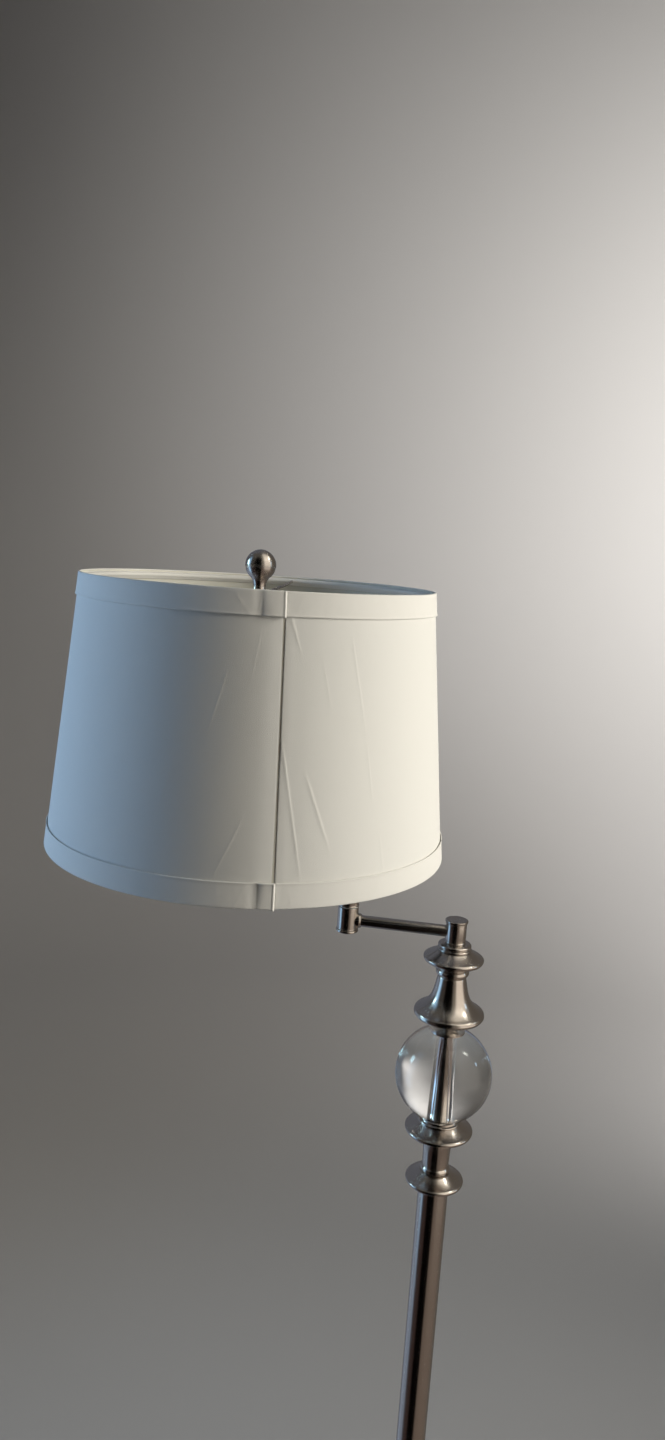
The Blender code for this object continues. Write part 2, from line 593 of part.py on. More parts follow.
def build_inner_arm():
    hub("inner_arm_hub", hub_z, HUB_HEIGHT, POST_RADIUS, True, inner_arm_z, -1, inner_arm)
    cap("pivot_cap", pivot_cap_z, inner_arm)
    arm_tube("inner_arm_tube", inner_arm_z, inner_arm)

    knuckle = pivot("knuckle_axis", inner_arm, (-ARM_LENGTH, 0, 0))
    hub("lower_knuckle", lower_knuckle_z, KNUCKLE_HEIGHT, PIN_RADIUS, False, inner_arm_z, 1,
        knuckle, boss=True)
    cap("knuckle_bottom_cap", lower_knuckle_z - GAP - CAP_HEIGHT, knuckle, upwards=False)
    washer_bore = PIN_RADIUS + TURNING_GAP
    place("knuckle_washer", tube(HUB_RADIUS - 0.0006, washer_bore, KNUCKLE_WASHER, COLUMN,
                                 knuckle_washer_z), nylon, knuckle)
    head_low = lower_knuckle_z + GAP
    pin_high = upper_knuckle_z + HUB_HEIGHT - 2 * GAP
    pin = [
        (PIN_BORE, head_low),
        (PIN_HEAD_RADIUS, head_low),
        (PIN_HEAD_RADIUS, head_low + PIN_HEAD_HEIGHT),
        (PIN_RADIUS, head_low + PIN_HEAD_HEIGHT),
        (PIN_RADIUS, pin_high),
        (PIN_BORE, pin_high),
    ]
    place("knuckle_pin", turned(pin, SMALL), steel, knuckle)
    hex_nut("knuckle_nut", pin_high - PIVOT_NUT_THICKNESS, PIVOT_NUT_RADIUS,
            PIVOT_NUT_THICKNESS, PIN_RADIUS + GAP, steel, knuckle)


def build_outer_arm():
    hub("upper_knuckle", upper_knuckle_z, HUB_HEIGHT, PIN_RADIUS, True, outer_arm_z, -1, outer_arm)
    cap("knuckle_top_cap", upper_knuckle_z + HUB_HEIGHT + GAP, outer_arm)
    arm_tube("outer_arm_tube", outer_arm_z, outer_arm)

    nipple_bore, end_floor = PIN_RADIUS + TURNING_GAP, 0.0020
    end = outline(
        (0, 0),
        (HUB_RADIUS - 0.0020, 0),
        (HUB_RADIUS, 0.0020, 0.0006),
        (HUB_RADIUS, HUB_HEIGHT),
        (nipple_bore, HUB_HEIGHT),
        (nipple_bore, end_floor),
        (0, end_floor),
    )
    end_hub = place("end_hub", turned(end, COLUMN, end_hub_z), nickel, holder)
    pocket = helper(
        "end_hub_pocket", bar((HUB_POCKET - GAP, 0, outer_arm_z), (2 * HUB_RADIUS, 0, outer_arm_z),
                              ARM_TUBE_RADIUS + GAP, SMALL), holder)
    combine(end_hub, pocket, "DIFFERENCE")

    nipple_low, nipple_high = end_hub_z + end_floor + GAP, socket_cap_z + 0.0045
    nipple = [
        (PIN_BORE, nipple_low - riser_z),
        (PIN_RADIUS, nipple_low - riser_z),
        (PIN_RADIUS, 0),
        (RISER_RADIUS, 0),
        (RISER_RADIUS, RISER_HEIGHT),
        (PIN_RADIUS, RISER_HEIGHT),
        (PIN_RADIUS, nipple_high - riser_z),
        (PIN_BORE, nipple_high - riser_z),
    ]
    place("socket_riser", turned(nipple, SMALL, riser_z), nickel, holder)


def saddle_mesh():
    """A strip with a round middle, bent up at both ends into stepped prongs."""
    shape = bmesh.new()
    half_foot = HARP_FOOT + SADDLE_THICKNESS / 2
    inner_foot = HARP_FOOT - SADDLE_THICKNESS / 2
    half_width, tip = SADDLE_WIDTH / 2, PRONG_TIP_WIDTH / 2
    profile = [
        (-half_foot, 0), (half_foot, 0), (half_foot, PRONG_SHOULDER),
        (inner_foot, PRONG_SHOULDER), (inner_foot, SADDLE_THICKNESS),
        (-inner_foot, SADDLE_THICKNESS), (-inner_foot, PRONG_SHOULDER),
        (-half_foot, PRONG_SHOULDER),
    ]
    face = shape.faces.new([shape.verts.new((x, -half_width, h)) for x, h in profile])
    pushed = bmesh.ops.extrude_face_region(shape, geom=[face])
    moved = [v for v in pushed["geom"] if isinstance(v, bmesh.types.BMVert)]
    bmesh.ops.translate(shape, verts=moved, vec=(0, SADDLE_WIDTH, 0))
    for side in (-1, 1):
        box = bmesh.ops.create_cube(shape, size=1)["verts"]
        height = PRONG_HEIGHT - PRONG_SHOULDER + 0.0010
        bmesh.ops.scale(shape, verts=box, vec=(SADDLE_THICKNESS - 0.0002, 2 * tip, height))
        middle = PRONG_HEIGHT - height / 2
        bmesh.ops.translate(shape, verts=box, vec=(side * HARP_FOOT, 0, middle))
    bmesh.ops.recalc_face_normals(shape, faces=shape.faces)
    mesh = bpy.data.meshes.new("saddle")
    shape.to_mesh(mesh)
    shape.free()
    return mesh


def build_socket():
    saddle = place("harp_saddle", saddle_mesh(), nickel, holder, (0, 0, saddle_z))
    centre = helper("saddle_centre", rod(SADDLE_CENTRE, SADDLE_THICKNESS - 0.0001, SMALL,
                                         saddle_z + 0.00005), holder)
    hole = helper("saddle_hole", rod(PIN_RADIUS + TURNING_GAP, 0.006, SMALL, saddle_z - 0.002), holder)
    combine(saddle, centre, "UNION")
    combine(saddle, hole, "DIFFERENCE")
    saddle.modifiers[0].use_self = True

    wall = SOCKET_CAP_WALL
    cup = outline(
        (PIN_RADIUS + TURNING_GAP, 0),
        (0.0090, 0),
        (SOCKET_CAP_RADIUS, 0.0095, 0.0020),
        (SOCKET_CAP_RADIUS, SOCKET_CAP_HEIGHT),
        (SOCKET_CAP_RADIUS - wall, SOCKET_CAP_HEIGHT),
        (SOCKET_CAP_RADIUS - wall, 0.0098),
        (0.0088, wall, -0.0017),
        (PIN_RADIUS + TURNING_GAP, wall),
    )
    place("socket_cap", turned(cup, COLUMN, socket_cap_z), nickel, holder)

    reach = SOCKET_RADIUS + 0.004
    shaft_hole = helper(
        "switch_hole", rod(SWITCH_SHAFT_RADIUS + 2 * TURNING_GAP, reach, SMALL, 0, "Y"), switch)
    shell = tube(SOCKET_RADIUS, SOCKET_RADIUS - SOCKET_WALL, SOCKET_HEIGHT, COLUMN, socket_z)
    combine(place("socket_shell", shell, nickel, holder), shaft_hole, "DIFFERENCE")

    liner_outer = SOCKET_RADIUS - SOCKET_WALL - GAP
    liner = tube(liner_outer, liner_outer - LINER_WALL, SOCKET_HEIGHT + LINER_RISE, COLUMN, socket_z + GAP)
    combine(place("socket_liner", liner, card, holder), shaft_hole, "DIFFERENCE")

    block_radius = liner_outer - LINER_WALL - GAP
    block = rod(block_radius, SWITCH_BLOCK_HEIGHT, COLUMN, switch_block_z)
    block_hole = helper(
        "switch_block_hole", rod(SWITCH_SHAFT_RADIUS + TURNING_GAP, block_radius, TINY,
                                 SWITCH_SHAFT_START - GAP, "Y"), switch)
    combine(place("switch_block", block, plastic, holder), block_hole, "DIFFERENCE")
    place("screw_shell", tube(SCREW_SHELL_RADIUS, SCREW_SHELL_RADIUS - SCREW_SHELL_WALL,
                              SCREW_SHELL_HEIGHT, COLUMN, screw_shell_z), aluminium, holder)


def build_switch():
    shaft_length = SWITCH_SHAFT_END - SWITCH_SHAFT_START
    place("switch_shaft", rod(SWITCH_SHAFT_RADIUS, shaft_length, TINY, SWITCH_SHAFT_START, "Y"),
          steel, switch)
    hole = SWITCH_SHAFT_RADIUS + GAP
    knob = outline(
        (hole, KNOB_START),
        (KNOB_RADIUS - 0.0012, KNOB_START),
        (KNOB_RADIUS, KNOB_START + 0.0030),
        (KNOB_RADIUS, KNOB_END - 0.0020),
        (KNOB_RADIUS - 0.0015, KNOB_END, 0.0003),
        (0, KNOB_END),
    )
    bore_end = KNOB_START + KNOB_HOLE_DEPTH
    knob = [(0, bore_end), (hole, bore_end), *knob]
    place("switch_knob", turned(knob, TINY, 0, "Y"), plastic, switch)


def build_bulb():
    base = [
        (0, 0),
        (0.0045, 0),
        (BULB_BASE_RADIUS - 0.0020, 0.0040),
        (BULB_BASE_RADIUS, 0.0060),
        (BULB_BASE_RADIUS, BULB_BASE_HEIGHT),
        (0, BULB_BASE_HEIGHT),
    ]
    place("bulb_base", turned(base, SMALL, bulb_base_z), aluminium, bulb)
    crown = BULB_HEIGHT - BULB_WIDEST
    inner = [
        (0, BULB_HEIGHT - BULB_WALL),
        (0.70 * BULB_RADIUS, BULB_WIDEST + 0.68 * crown),
        (BULB_RADIUS - BULB_WALL, BULB_WIDEST),
        (0.0180, 0.0260),
        (BULB_NECK - BULB_WALL, 0.0060),
        (BULB_NECK - BULB_WALL, 0),
    ]
    outer = [
        (BULB_NECK, 0),
        (BULB_NECK, 0.0060),
        (0.0190, 0.0255),
        (BULB_RADIUS - 0.0010, BULB_WIDEST - 0.0100),
        (BULB_RADIUS, BULB_WIDEST),
        (BULB_RADIUS - 0.0022, BULB_WIDEST + 0.0110),
        (0.73 * BULB_RADIUS, BULB_WIDEST + 0.70 * crown),
        (0.40 * BULB_RADIUS, BULB_HEIGHT - 0.0024),
        (0, BULB_HEIGHT),
    ]
    place("bulb_globe", turned(inner + outer, SMALL, bulb_z), frosted, bulb)


def build_harp():
    half = [
        (HARP_FOOT, 0),
        (HARP_FOOT, HARP_STRAIGHT),
        (HARP_HALF_WIDTH - 0.004, HARP_STRAIGHT + 0.052),
        (HARP_HALF_WIDTH, HARP_STRAIGHT + 0.096),
        (HARP_HALF_WIDTH - 0.013, HARP_HEIGHT - 0.050),
        (0.0200, HARP_HEIGHT - 0.0080),
    ]
    route = [(-x, h) for x, h in half] + [(0, HARP_HEIGHT)] + [(x, h) for x, h in reversed(half)]
    wire = bpy.data.curves.new("harp", "CURVE")
    wire.dimensions = "3D"
    wire.resolution_u = 4
    wire.bevel_depth = HARP_WIRE
    wire.bevel_resolution = 1
    wire.use_fill_caps = True
    spline = wire.splines.new("BEZIER")
    spline.bezier_points.add(len(route) - 1)
    for point, (x, h) in zip(spline.bezier_points, route):
        point.co = (x, 0, h)
        point.handle_left_type = point.handle_right_type = "AUTO"
    wire.materials.append(nickel)
    harp = bpy.data.objects.new("harp", wire)
    bpy.context.scene.collection.objects.link(harp)
    harp.parent = holder
    harp.location = (0, 0, harp_z)

    sleeve_z = saddle_z + PRONG_SHOULDER + GAP
    for name, side in (("harp_sleeve_left", -1), ("harp_sleeve_right", 1)):
        axis = pivot(name + "_axis", holder, (side * HARP_FOOT, 0, 0))
        place(name, tube(SLEEVE_RADIUS, SLEEVE_BORE, SLEEVE_LENGTH, TINY, sleeve_z), nickel, axis)

    stud = [
        (0, 0),
        (STUD_FLANGE_RADIUS, 0),
        (STUD_FLANGE_RADIUS, STUD_FLANGE_HEIGHT),
        (STUD_RADIUS, STUD_FLANGE_HEIGHT),
        (STUD_RADIUS, STUD_LENGTH),
        (0, STUD_LENGTH),
    ]
    place("harp_stud", turned(stud, SMALL, stud_z), nickel, holder)


def build_shade():
    edge = TRIM_THICKNESS + GAP
    fabric_in = edge
    liner_in = fabric_in + FABRIC_THICKNESS + GAP
    flap_in = liner_in + LINER_THICKNESS + GAP
    low, high = shade_bottom_z + edge, shade_top_z - edge
    place("shade_fabric", shade_sheet(low, high, fabric_in, FABRIC_THICKNESS), linen, shade)
    place("shade_liner", shade_sheet(low, high, liner_in, LINER_THICKNESS), styrene, shade)

    for name, rim, inward in (("shade_top_trim", shade_top_z, -1), ("shade_bottom_trim", shade_bottom_z, 1)):
        skirt, fold, flap = rim + inward * TRIM_HEIGHT, rim + inward * TRIM_THICKNESS, rim + inward * TRIM_FLAP
        folded = [
            (shade_radius(skirt), skirt),
            (shade_radius(rim), rim),
            (shade_radius(rim) - flap_in - TRIM_THICKNESS, rim),
            (shade_radius(flap) - flap_in - TRIM_THICKNESS, flap),
            (shade_radius(flap) - flap_in, flap),
            (shade_radius(fold) - flap_in, fold),
            (shade_radius(fold) - TRIM_THICKNESS, fold),
            (shade_radius(skirt) - TRIM_THICKNESS, skirt),
        ]
        place(name, turned(folded, LARGE), trim, shade)

    wire_inset = TRIM_FLAP + GAP + SHADE_WIRE
    wire_in = liner_in + LINER_THICKNESS + GAP + SHADE_WIRE
    bottom_wire_z = shade_bottom_z + wire_inset
    bottom_radius = shade_radius(bottom_wire_z) - wire_in - GAP
    place("shade_bottom_ring", ring(bottom_radius, SHADE_WIRE, bottom_wire_z, LARGE, 6), nickel, shade)

    top_wire_z = shade_top_z - wire_inset
    top_radius = shade_radius(top_wire_z) - wire_in - GAP
    spider = place("shade_spider", ring(top_radius, SHADE_WIRE, top_wire_z, LARGE, 6), nickel, shade)
    washer = helper("spider_washer", tube(SPIDER_WASHER_RADIUS, SPIDER_WASHER_HOLE, SPIDER_WASHER,
                                          SMALL, spider_z), shade)
    washer_middle = spider_z + SPIDER_WASHER / 2
    for k in range(SPIDER_ARMS):
        turn = SPIDER_TURN + 2 * math.pi * k / SPIDER_ARMS
        across = Vector((math.cos(turn), math.sin(turn), 0))
        start = across * (SPIDER_WASHER_RADIUS - 0.0030) + Vector((0, 0, washer_middle + 0.0004))
        end = across * top_radius + Vector((0, 0, top_wire_z))
        spoke = helper(f"spider_arm_{k + 1}", bar(start, end, SHADE_WIRE - 0.0001, 8), shade)
        combine(spider, spoke, "UNION")
    combine(spider, washer, "UNION")
    bore = helper("spider_bore", rod(SPIDER_WASHER_HOLE, 0.012, SMALL, spider_z - 0.005), shade)
    combine(spider, bore, "DIFFERENCE")


def build_finial():
    bore = STUD_RADIUS + TURNING_GAP
    ball_low = math.sqrt(FINIAL_BALL_RADIUS**2 - 0.0080**2)
    ball_centre = FINIAL_STEM + ball_low - 0.0010
    start = math.atan2(-ball_low, 0.0080)
    rings = 6
    ball = [
        (max(0.0, FINIAL_BALL_RADIUS * math.cos(a)), ball_centre + FINIAL_BALL_RADIUS * math.sin(a))
        for a in (start + (math.pi / 2 - start) * k / rings for k in range(rings + 1))
    ]
    ball[-1] = (0, ball_centre + FINIAL_BALL_RADIUS)
    stem = outline(
        (FINIAL_FOOT, 0),
        (FINIAL_FOOT, 0.0022, 0.0003),
        (FINIAL_NECK, 0.0060, -0.0006),
        (0.0080, FINIAL_STEM - 0.0010, -0.0020),
    )
    points = [(0, FINIAL_BORE_DEPTH), (bore, FINIAL_BORE_DEPTH), (bore, 0), *stem, *ball[1:]]
    place("finial", turned(points, SMALL, finial_z), nickel, finial_axis)


build_base()
build_column_head(build_pole())
build_inner_arm()
build_outer_arm()
build_socket()
build_switch()
build_bulb()
build_harp()
build_shade()
build_finial()
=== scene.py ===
import json
import math

import bmesh
import bpy
import numpy as np
from mathutils import Matrix, Vector

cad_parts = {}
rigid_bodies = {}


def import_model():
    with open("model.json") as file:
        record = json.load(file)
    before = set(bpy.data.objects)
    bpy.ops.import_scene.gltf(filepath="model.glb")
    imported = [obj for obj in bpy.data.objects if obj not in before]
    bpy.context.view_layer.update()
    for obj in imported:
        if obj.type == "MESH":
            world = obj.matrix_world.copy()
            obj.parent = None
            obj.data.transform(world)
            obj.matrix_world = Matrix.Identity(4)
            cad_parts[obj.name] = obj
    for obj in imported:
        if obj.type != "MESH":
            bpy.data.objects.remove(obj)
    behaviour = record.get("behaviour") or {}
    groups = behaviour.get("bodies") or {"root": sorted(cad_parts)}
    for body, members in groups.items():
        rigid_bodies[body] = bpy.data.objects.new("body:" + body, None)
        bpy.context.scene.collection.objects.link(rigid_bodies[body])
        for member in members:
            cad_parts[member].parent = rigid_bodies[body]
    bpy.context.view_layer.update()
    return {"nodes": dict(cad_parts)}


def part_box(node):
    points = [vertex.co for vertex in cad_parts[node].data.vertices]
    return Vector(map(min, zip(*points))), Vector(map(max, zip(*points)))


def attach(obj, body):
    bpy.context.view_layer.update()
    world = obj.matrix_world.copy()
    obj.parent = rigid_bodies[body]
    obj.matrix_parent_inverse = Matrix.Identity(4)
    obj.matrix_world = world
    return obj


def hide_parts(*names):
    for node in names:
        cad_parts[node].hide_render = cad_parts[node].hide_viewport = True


for leftover in list(bpy.data.objects):
    bpy.data.objects.remove(leftover)

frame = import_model()
mm = 0.001


def nodeLow(node):
    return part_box(node)[0]


def nodeHigh(node):
    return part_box(node)[1]


def nodeTall(node):
    return (nodeHigh(node).z - nodeLow(node).z) / mm


def onHolder(mesh):  # from millimetres about the holder's own axis
    mesh.transform(Matrix.Translation((holderAxis[0], 0, 0)) @ Matrix.Scale(mm, 4))
    return mesh


# where the upright axes stand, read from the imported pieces
columnAxis = (0.0, 0.0)
kneeAxis = (sum(p.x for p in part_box("knuckle_top_cap")) / 2, 0.0)
holderAxis = (sum(p.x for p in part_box("end_hub")) / 2, 0.0)

# camera
cameraLooks = {"x": 0.005, "y": -0.959, "z": 1.5065, "turn": 8.18, "down": 9.66, "roll": 3.78,
               "lens": 26.0, "sensor": 36.0}


def makeCamera(looks):
    lens = bpy.data.cameras.new("camera")
    lens.lens = looks["lens"]
    lens.sensor_width = looks["sensor"]
    lens.dof.use_dof = False
    camera = bpy.data.objects.new("camera", lens)
    bpy.context.scene.collection.objects.link(camera)
    turn, down, roll = (math.radians(looks[k]) for k in ("turn", "down", "roll"))
    forward = Vector((-math.sin(turn) * math.cos(down), math.cos(turn) * math.cos(down), -math.sin(down)))
    level = forward.cross(Vector((0, 0, 1))).normalized()
    above = level.cross(forward)
    right = level * math.cos(roll) + above * math.sin(roll)
    up = right.cross(forward)
    facing = Matrix((right, up, -forward)).transposed()
    camera.matrix_world = Matrix.Translation((looks["x"], looks["y"], looks["z"])) @ facing.to_4x4()
    bpy.context.scene.camera = camera


makeCamera(cameraLooks)
print("camera stands in place")


# shader maths
class Wire:
    def __init__(self, paint, socket):
        self.paint, self.socket = paint, socket

    def __add__(self, other):
        return self.paint.maths("ADD", self, other)

    def __radd__(self, other):
        return self.paint.maths("ADD", other, self)

    def __sub__(self, other):
        return self.paint.maths("SUBTRACT", self, other)

    def __rsub__(self, other):
        return self.paint.maths("SUBTRACT", other, self)

    def __mul__(self, other):
        return self.paint.maths("MULTIPLY", self, other)

    def __rmul__(self, other):
        return self.paint.maths("MULTIPLY", other, self)

    def __abs__(self):
        return self.paint.maths("ABSOLUTE", self)


class Paint:
    def __init__(self, name, looks):
        self.material = bpy.data.materials.new(name)
        self.material.use_nodes = True
        self.tree = self.material.node_tree
        self.shader = self.tree.nodes["Principled BSDF"]
        for socket, value in looks.items():
            if isinstance(value, tuple) and len(value) == 3:
                value = (*value, 1.0)
            self.shader.inputs[socket].default_value = value

    def node(self, kind, settings=None, values=None, out=0):
        made = self.tree.nodes.new(kind)
        for setting, value in (settings or {}).items():
            setattr(made, setting, value)
        for socket, value in (values or {}).items():
            target = made.inputs[socket]
            if isinstance(value, Wire):
                self.tree.links.new(value.socket, target)
            elif isinstance(value, tuple) and target.type == "RGBA":
                target.default_value = (*value, 1.0)
            else:
                target.default_value = value
        return Wire(self, made.outputs[out])

    def feed(self, socket, wire):
        self.tree.links.new(wire.socket, self.shader.inputs[socket])

    def maths(self, operation, first, second=0.0):
        return self.node("ShaderNodeMath", {"operation": operation}, {0: first, 1: second})

    def place(self):
        return self.node("ShaderNodeTexCoord", out=3)

    def vectors(self, operation, first, second, out=0):
        return self.node("ShaderNodeVectorMath", {"operation": operation}, {0: first, 1: second}, out)

    def noise(self, place, scale, detail=2.0, rough=0.5):
        return self.node("ShaderNodeTexNoise", None,
                         {"Vector": place, "Scale": scale, "Detail": detail, "Roughness": rough})

    def ramp(self, wire, low, high):
        return self.node("ShaderNodeMapRange", {"interpolation_type": "SMOOTHSTEP"},
                         {"Value": wire, "From Min": low, "From Max": high})

    def colours(self, share, first, second):
        return self.node("ShaderNodeMix", {"data_type": "RGBA"}, {0: share, 6: first, 7: second}, 2)

    def apart(self, wire, out):
        return self.node("ShaderNodeSeparateXYZ", None, {0: wire}, out)

    def raised(self, height, distance, strength=1.0, under=None):
        values = {"Strength": strength, "Distance": distance, "Height": height}
        if under:
            values["Normal"] = under
        return self.node("ShaderNodeBump", None, values)


# finishes
def brushedNickel(name, centre=(0, 0, 0), lying=False, looks=None):
    looks = {"colour": (0.60, 0.555, 0.505), "dulled": (0.47, 0.43, 0.39), "roughness": 0.23,
             "stretch": 0.75, "lines": 4200.0, "depth": 0.0000012, **(looks or {})}
    paint = Paint(name, {"Metallic": 1.0, "Base Color": looks["colour"], "Roughness": looks["roughness"],
                         "Anisotropic": 0.0 if lying else looks["stretch"], "Anisotropic Rotation": 0.25})
    spot = paint.vectors("SUBTRACT", paint.place(), centre)
    across = (0.0, 1.0, 1.0) if lying else (1.0, 1.0, 0.0)
    flat = paint.vectors("MULTIPLY", spot, across)
    out = paint.vectors("LENGTH", flat, (0, 0, 0), 1)
    lengthways = paint.apart(spot, 0 if lying else 2)
    spoke = paint.node("ShaderNodeVectorMath", {"operation": "NORMALIZE"}, {0: flat})
    along = lengthways * looks["lines"] + out * looks["lines"] * 0.7
    line = paint.node("ShaderNodeCombineXYZ", None, {0: along, 1: along * 0.37})
    line = paint.vectors("ADD", line, paint.vectors("MULTIPLY", spoke, (1.6, 1.6, 1.6)))
    fine = paint.noise(line, 1.0, 3.0, 0.6)
    broad = paint.noise(spot, 34.0, 3.0)
    smudge = paint.ramp(broad, 0.42, 0.68)
    paint.feed("Roughness", fine * 0.10 + smudge * 0.02 + (looks["roughness"] - 0.06))
    paint.feed("Base Color", paint.colours(fine * 0.24 + smudge * 0.06, looks["colour"], looks["dulled"]))
    paint.feed("Normal", paint.raised(fine, looks["depth"], 0.5))
    return paint.material


def zincPlate():
    looks = {"Metallic": 1.0, "Base Color": (0.56, 0.57, 0.58), "Roughness": 0.38}
    paint = Paint("zincPlate", looks)
    spangle = paint.node("ShaderNodeTexVoronoi", None, {"Vector": paint.place(), "Scale": 900.0})
    cloud = paint.noise(paint.place(), 160.0, 3.0)
    paint.feed("Base Color", paint.colours(cloud, (0.50, 0.51, 0.53), (0.62, 0.61, 0.57)))
    paint.feed("Roughness", spangle * 0.16 + 0.30)
    return paint.material


def castIron():
    paint = Paint("castIron", {"Metallic": 0.6, "Base Color": (0.06, 0.06, 0.06), "Roughness": 0.8})
    grit = paint.noise(paint.place(), 900.0, 4.0, 0.6)
    rust = paint.ramp(paint.noise(paint.place(), 40.0, 4.0), 0.5, 0.75)
    paint.feed("Base Color", paint.colours(rust, (0.055, 0.055, 0.06), (0.12, 0.06, 0.035)))
    paint.feed("Roughness", grit * 0.2 + 0.65)
    paint.feed("Normal", paint.raised(grit, 0.0004))
    return paint.material


def foamPad():
    paint = Paint("foamPad", {"Base Color": (0.02, 0.02, 0.02), "Roughness": 0.95})
    cells = paint.node("ShaderNodeTexVoronoi", None, {"Vector": paint.place(), "Scale": 1600.0})
    dust = paint.ramp(paint.noise(paint.place(), 60.0, 4.0), 0.5, 0.8)
    paint.feed("Base Color", paint.colours(dust, (0.018, 0.018, 0.019), (0.06, 0.057, 0.052)))
    paint.feed("Normal", paint.raised(cells, 0.0003, 0.6))
    return paint.material


def mouldedPlastic(name, colour, worn, roughness, texture=0.00004):
    paint = Paint(name, {"Base Color": colour, "Roughness": roughness})
    grain = paint.noise(paint.place(), 2600.0, 2.0)
    wear = paint.ramp(paint.noise(paint.place(), 90.0, 4.0), 0.5, 0.75)
    paint.feed("Base Color", paint.colours(wear, colour, worn))
    paint.feed("Roughness", grain * 0.12 + wear * 0.08 + (roughness - 0.08))
    paint.feed("Normal", paint.raised(grain, texture))
    return paint.material


def clearGlass():
    paint = Paint("clearGlass", {"Base Color": (0.985, 0.992, 0.988), "Roughness": 0.0, "IOR": 1.5,
                                 "Transmission Weight": 1.0})
    breath = paint.ramp(paint.noise(paint.place(), 26.0, 4.0, 0.6), 0.55, 0.9)
    paint.feed("Roughness", breath * 0.02)
    return paint.material


def frostedGlass():
    paint = Paint("frostedGlass", {"Base Color": (0.90, 0.89, 0.86), "Roughness": 0.38, "Coat Weight": 0.25,
                                   "Coat Roughness": 0.12, "Subsurface Weight": 0.2})
    frost = paint.noise(paint.place(), 1800.0, 3.0)
    cloud = paint.noise(paint.place(), 45.0, 3.0)
    paint.feed("Base Color", paint.colours(cloud, (0.93, 0.92, 0.89), (0.86, 0.85, 0.81)))
    paint.feed("Roughness", frost * 0.16 + 0.30)
    return paint.material


def drawnAluminium():
    paint = Paint("drawnAluminium", {"Metallic": 1.0, "Base Color": (0.80, 0.80, 0.79), "Roughness": 0.3})
    scuff = paint.noise(paint.place(), 420.0, 4.0, 0.65)
    paint.feed("Base Color", paint.colours(scuff, (0.72, 0.72, 0.72), (0.88, 0.87, 0.85)))
    paint.feed("Roughness", scuff * 0.22 + 0.2)
    return paint.material


def wovenCloth(name, looks):
    looks = {"colour": (0.85, 0.84, 0.80), "shaded": (0.76, 0.75, 0.71), "pitch": 0.00042,
             "turned": 0.0, "slub": 0.35, "depth": 0.00007, "stain": 0.10, **looks}
    paint = Paint(name, {"Base Color": looks["colour"], "Roughness": 0.92, "Sheen Weight": 0.18,
                         "Sheen Roughness": 0.5})
    cloth = paint.node("ShaderNodeUVMap", {"uv_map": "cloth"})
    cloth = paint.node("ShaderNodeMapping", None, {"Vector": cloth, "Rotation": (0, 0, looks["turned"])})
    wander = paint.noise(cloth, 90.0, 2.0)
    across = paint.apart(cloth, 0) + wander * 0.0009
    along = paint.apart(cloth, 1) + wander * 0.0007
    turn = 2 * math.pi / looks["pitch"]
    weave = paint.maths("SINE", across * turn) * paint.maths("SINE", along * turn) * 0.5 + 0.5
    slubAcross = paint.noise(paint.vectors("MULTIPLY", cloth, (70.0, 1900.0, 1.0)), 1.0, 2.0)
    slubAlong = paint.noise(paint.vectors("MULTIPLY", cloth, (1900.0, 70.0, 1.0)), 1.0, 2.0)
    slubs = (slubAcross + slubAlong) * 0.5
    cloud = paint.noise(cloth, 11.0, 3.0, 0.6)
    spots = paint.ramp(paint.noise(cloth, 160.0, 2.0), 0.74, 0.80)
    tone = slubs * looks["slub"] + weave * 0.16 + cloud * looks["stain"] + spots * 0.35
    paint.feed("Base Color", paint.colours(tone, looks["colour"], looks["shaded"]))
    paint.feed("Roughness", slubs * 0.1 + 0.86)
    threads = paint.raised(weave, looks["depth"], 0.8)
    paint.feed("Normal", paint.raised(slubs, looks["depth"] * 2.2, 0.7, threads))
    return paint.material


def shadeBacking():
    paint = Paint("shadeBacking", {"Base Color": (0.74, 0.71, 0.62), "Roughness": 0.5, "Subsurface Weight": 0.1})
    cloud = paint.noise(paint.place(), 9.0, 4.0)
    grain = paint.noise(paint.place(), 1400.0, 2.0)
    paint.feed("Base Color", paint.colours(cloud, (0.76, 0.73, 0.64), (0.68, 0.64, 0.54)))
    paint.feed("Roughness", grain * 0.15 + 0.42)
    paint.feed("Normal", paint.raised(grain, 0.00003))
    return paint.material


columnNickel = brushedNickel("columnNickel", (0, 0, 0))
kneeNickel = brushedNickel("kneeNickel", (kneeAxis[0], 0, 0))
holderNickel = brushedNickel("holderNickel", (holderAxis[0], 0, 0))
armNickel = brushedNickel("armNickel", (0, 0, nodeLow("inner_arm_tube").z + 0.0056), True, {"lines": 2600.0})
zinc, iron, pad = zincPlate(), castIron(), foamPad()
blackPlastic = mouldedPlastic("blackPlastic", (0.018, 0.018, 0.018), (0.05, 0.048, 0.045), 0.42)
nylon = mouldedPlastic("nylonWasher", (0.72, 0.71, 0.66), (0.60, 0.57, 0.50), 0.5)
fibre = mouldedPlastic("fibreSleeve", (0.72, 0.66, 0.52), (0.62, 0.55, 0.42), 0.8, 0.0001)
glass, frosted, aluminium = clearGlass(), frostedGlass(), drawnAluminium()
shadeCloth = wovenCloth("shadeCloth", {})
tapeCloth = wovenCloth("tapeCloth", {"colour": (0.88, 0.865, 0.82), "shaded": (0.78, 0.765, 0.72),
                                     "pitch": 0.00036, "turned": 0.785, "slub": 0.30, "stain": 0.08})
backing = shadeBacking()
print("finishes are mixed")


# ways of making
def addPiece(name, mesh, finish, body, nodes=(), smoothTo=38):
    mesh.materials.append(finish)
    mesh.shade_smooth()
    mesh.set_sharp_from_angle(angle=math.radians(smoothTo))
    piece = bpy.data.objects.new(name, mesh)
    bpy.context.scene.collection.objects.link(piece)
    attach(piece, body)
    if nodes:
        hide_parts(*nodes)
    return piece


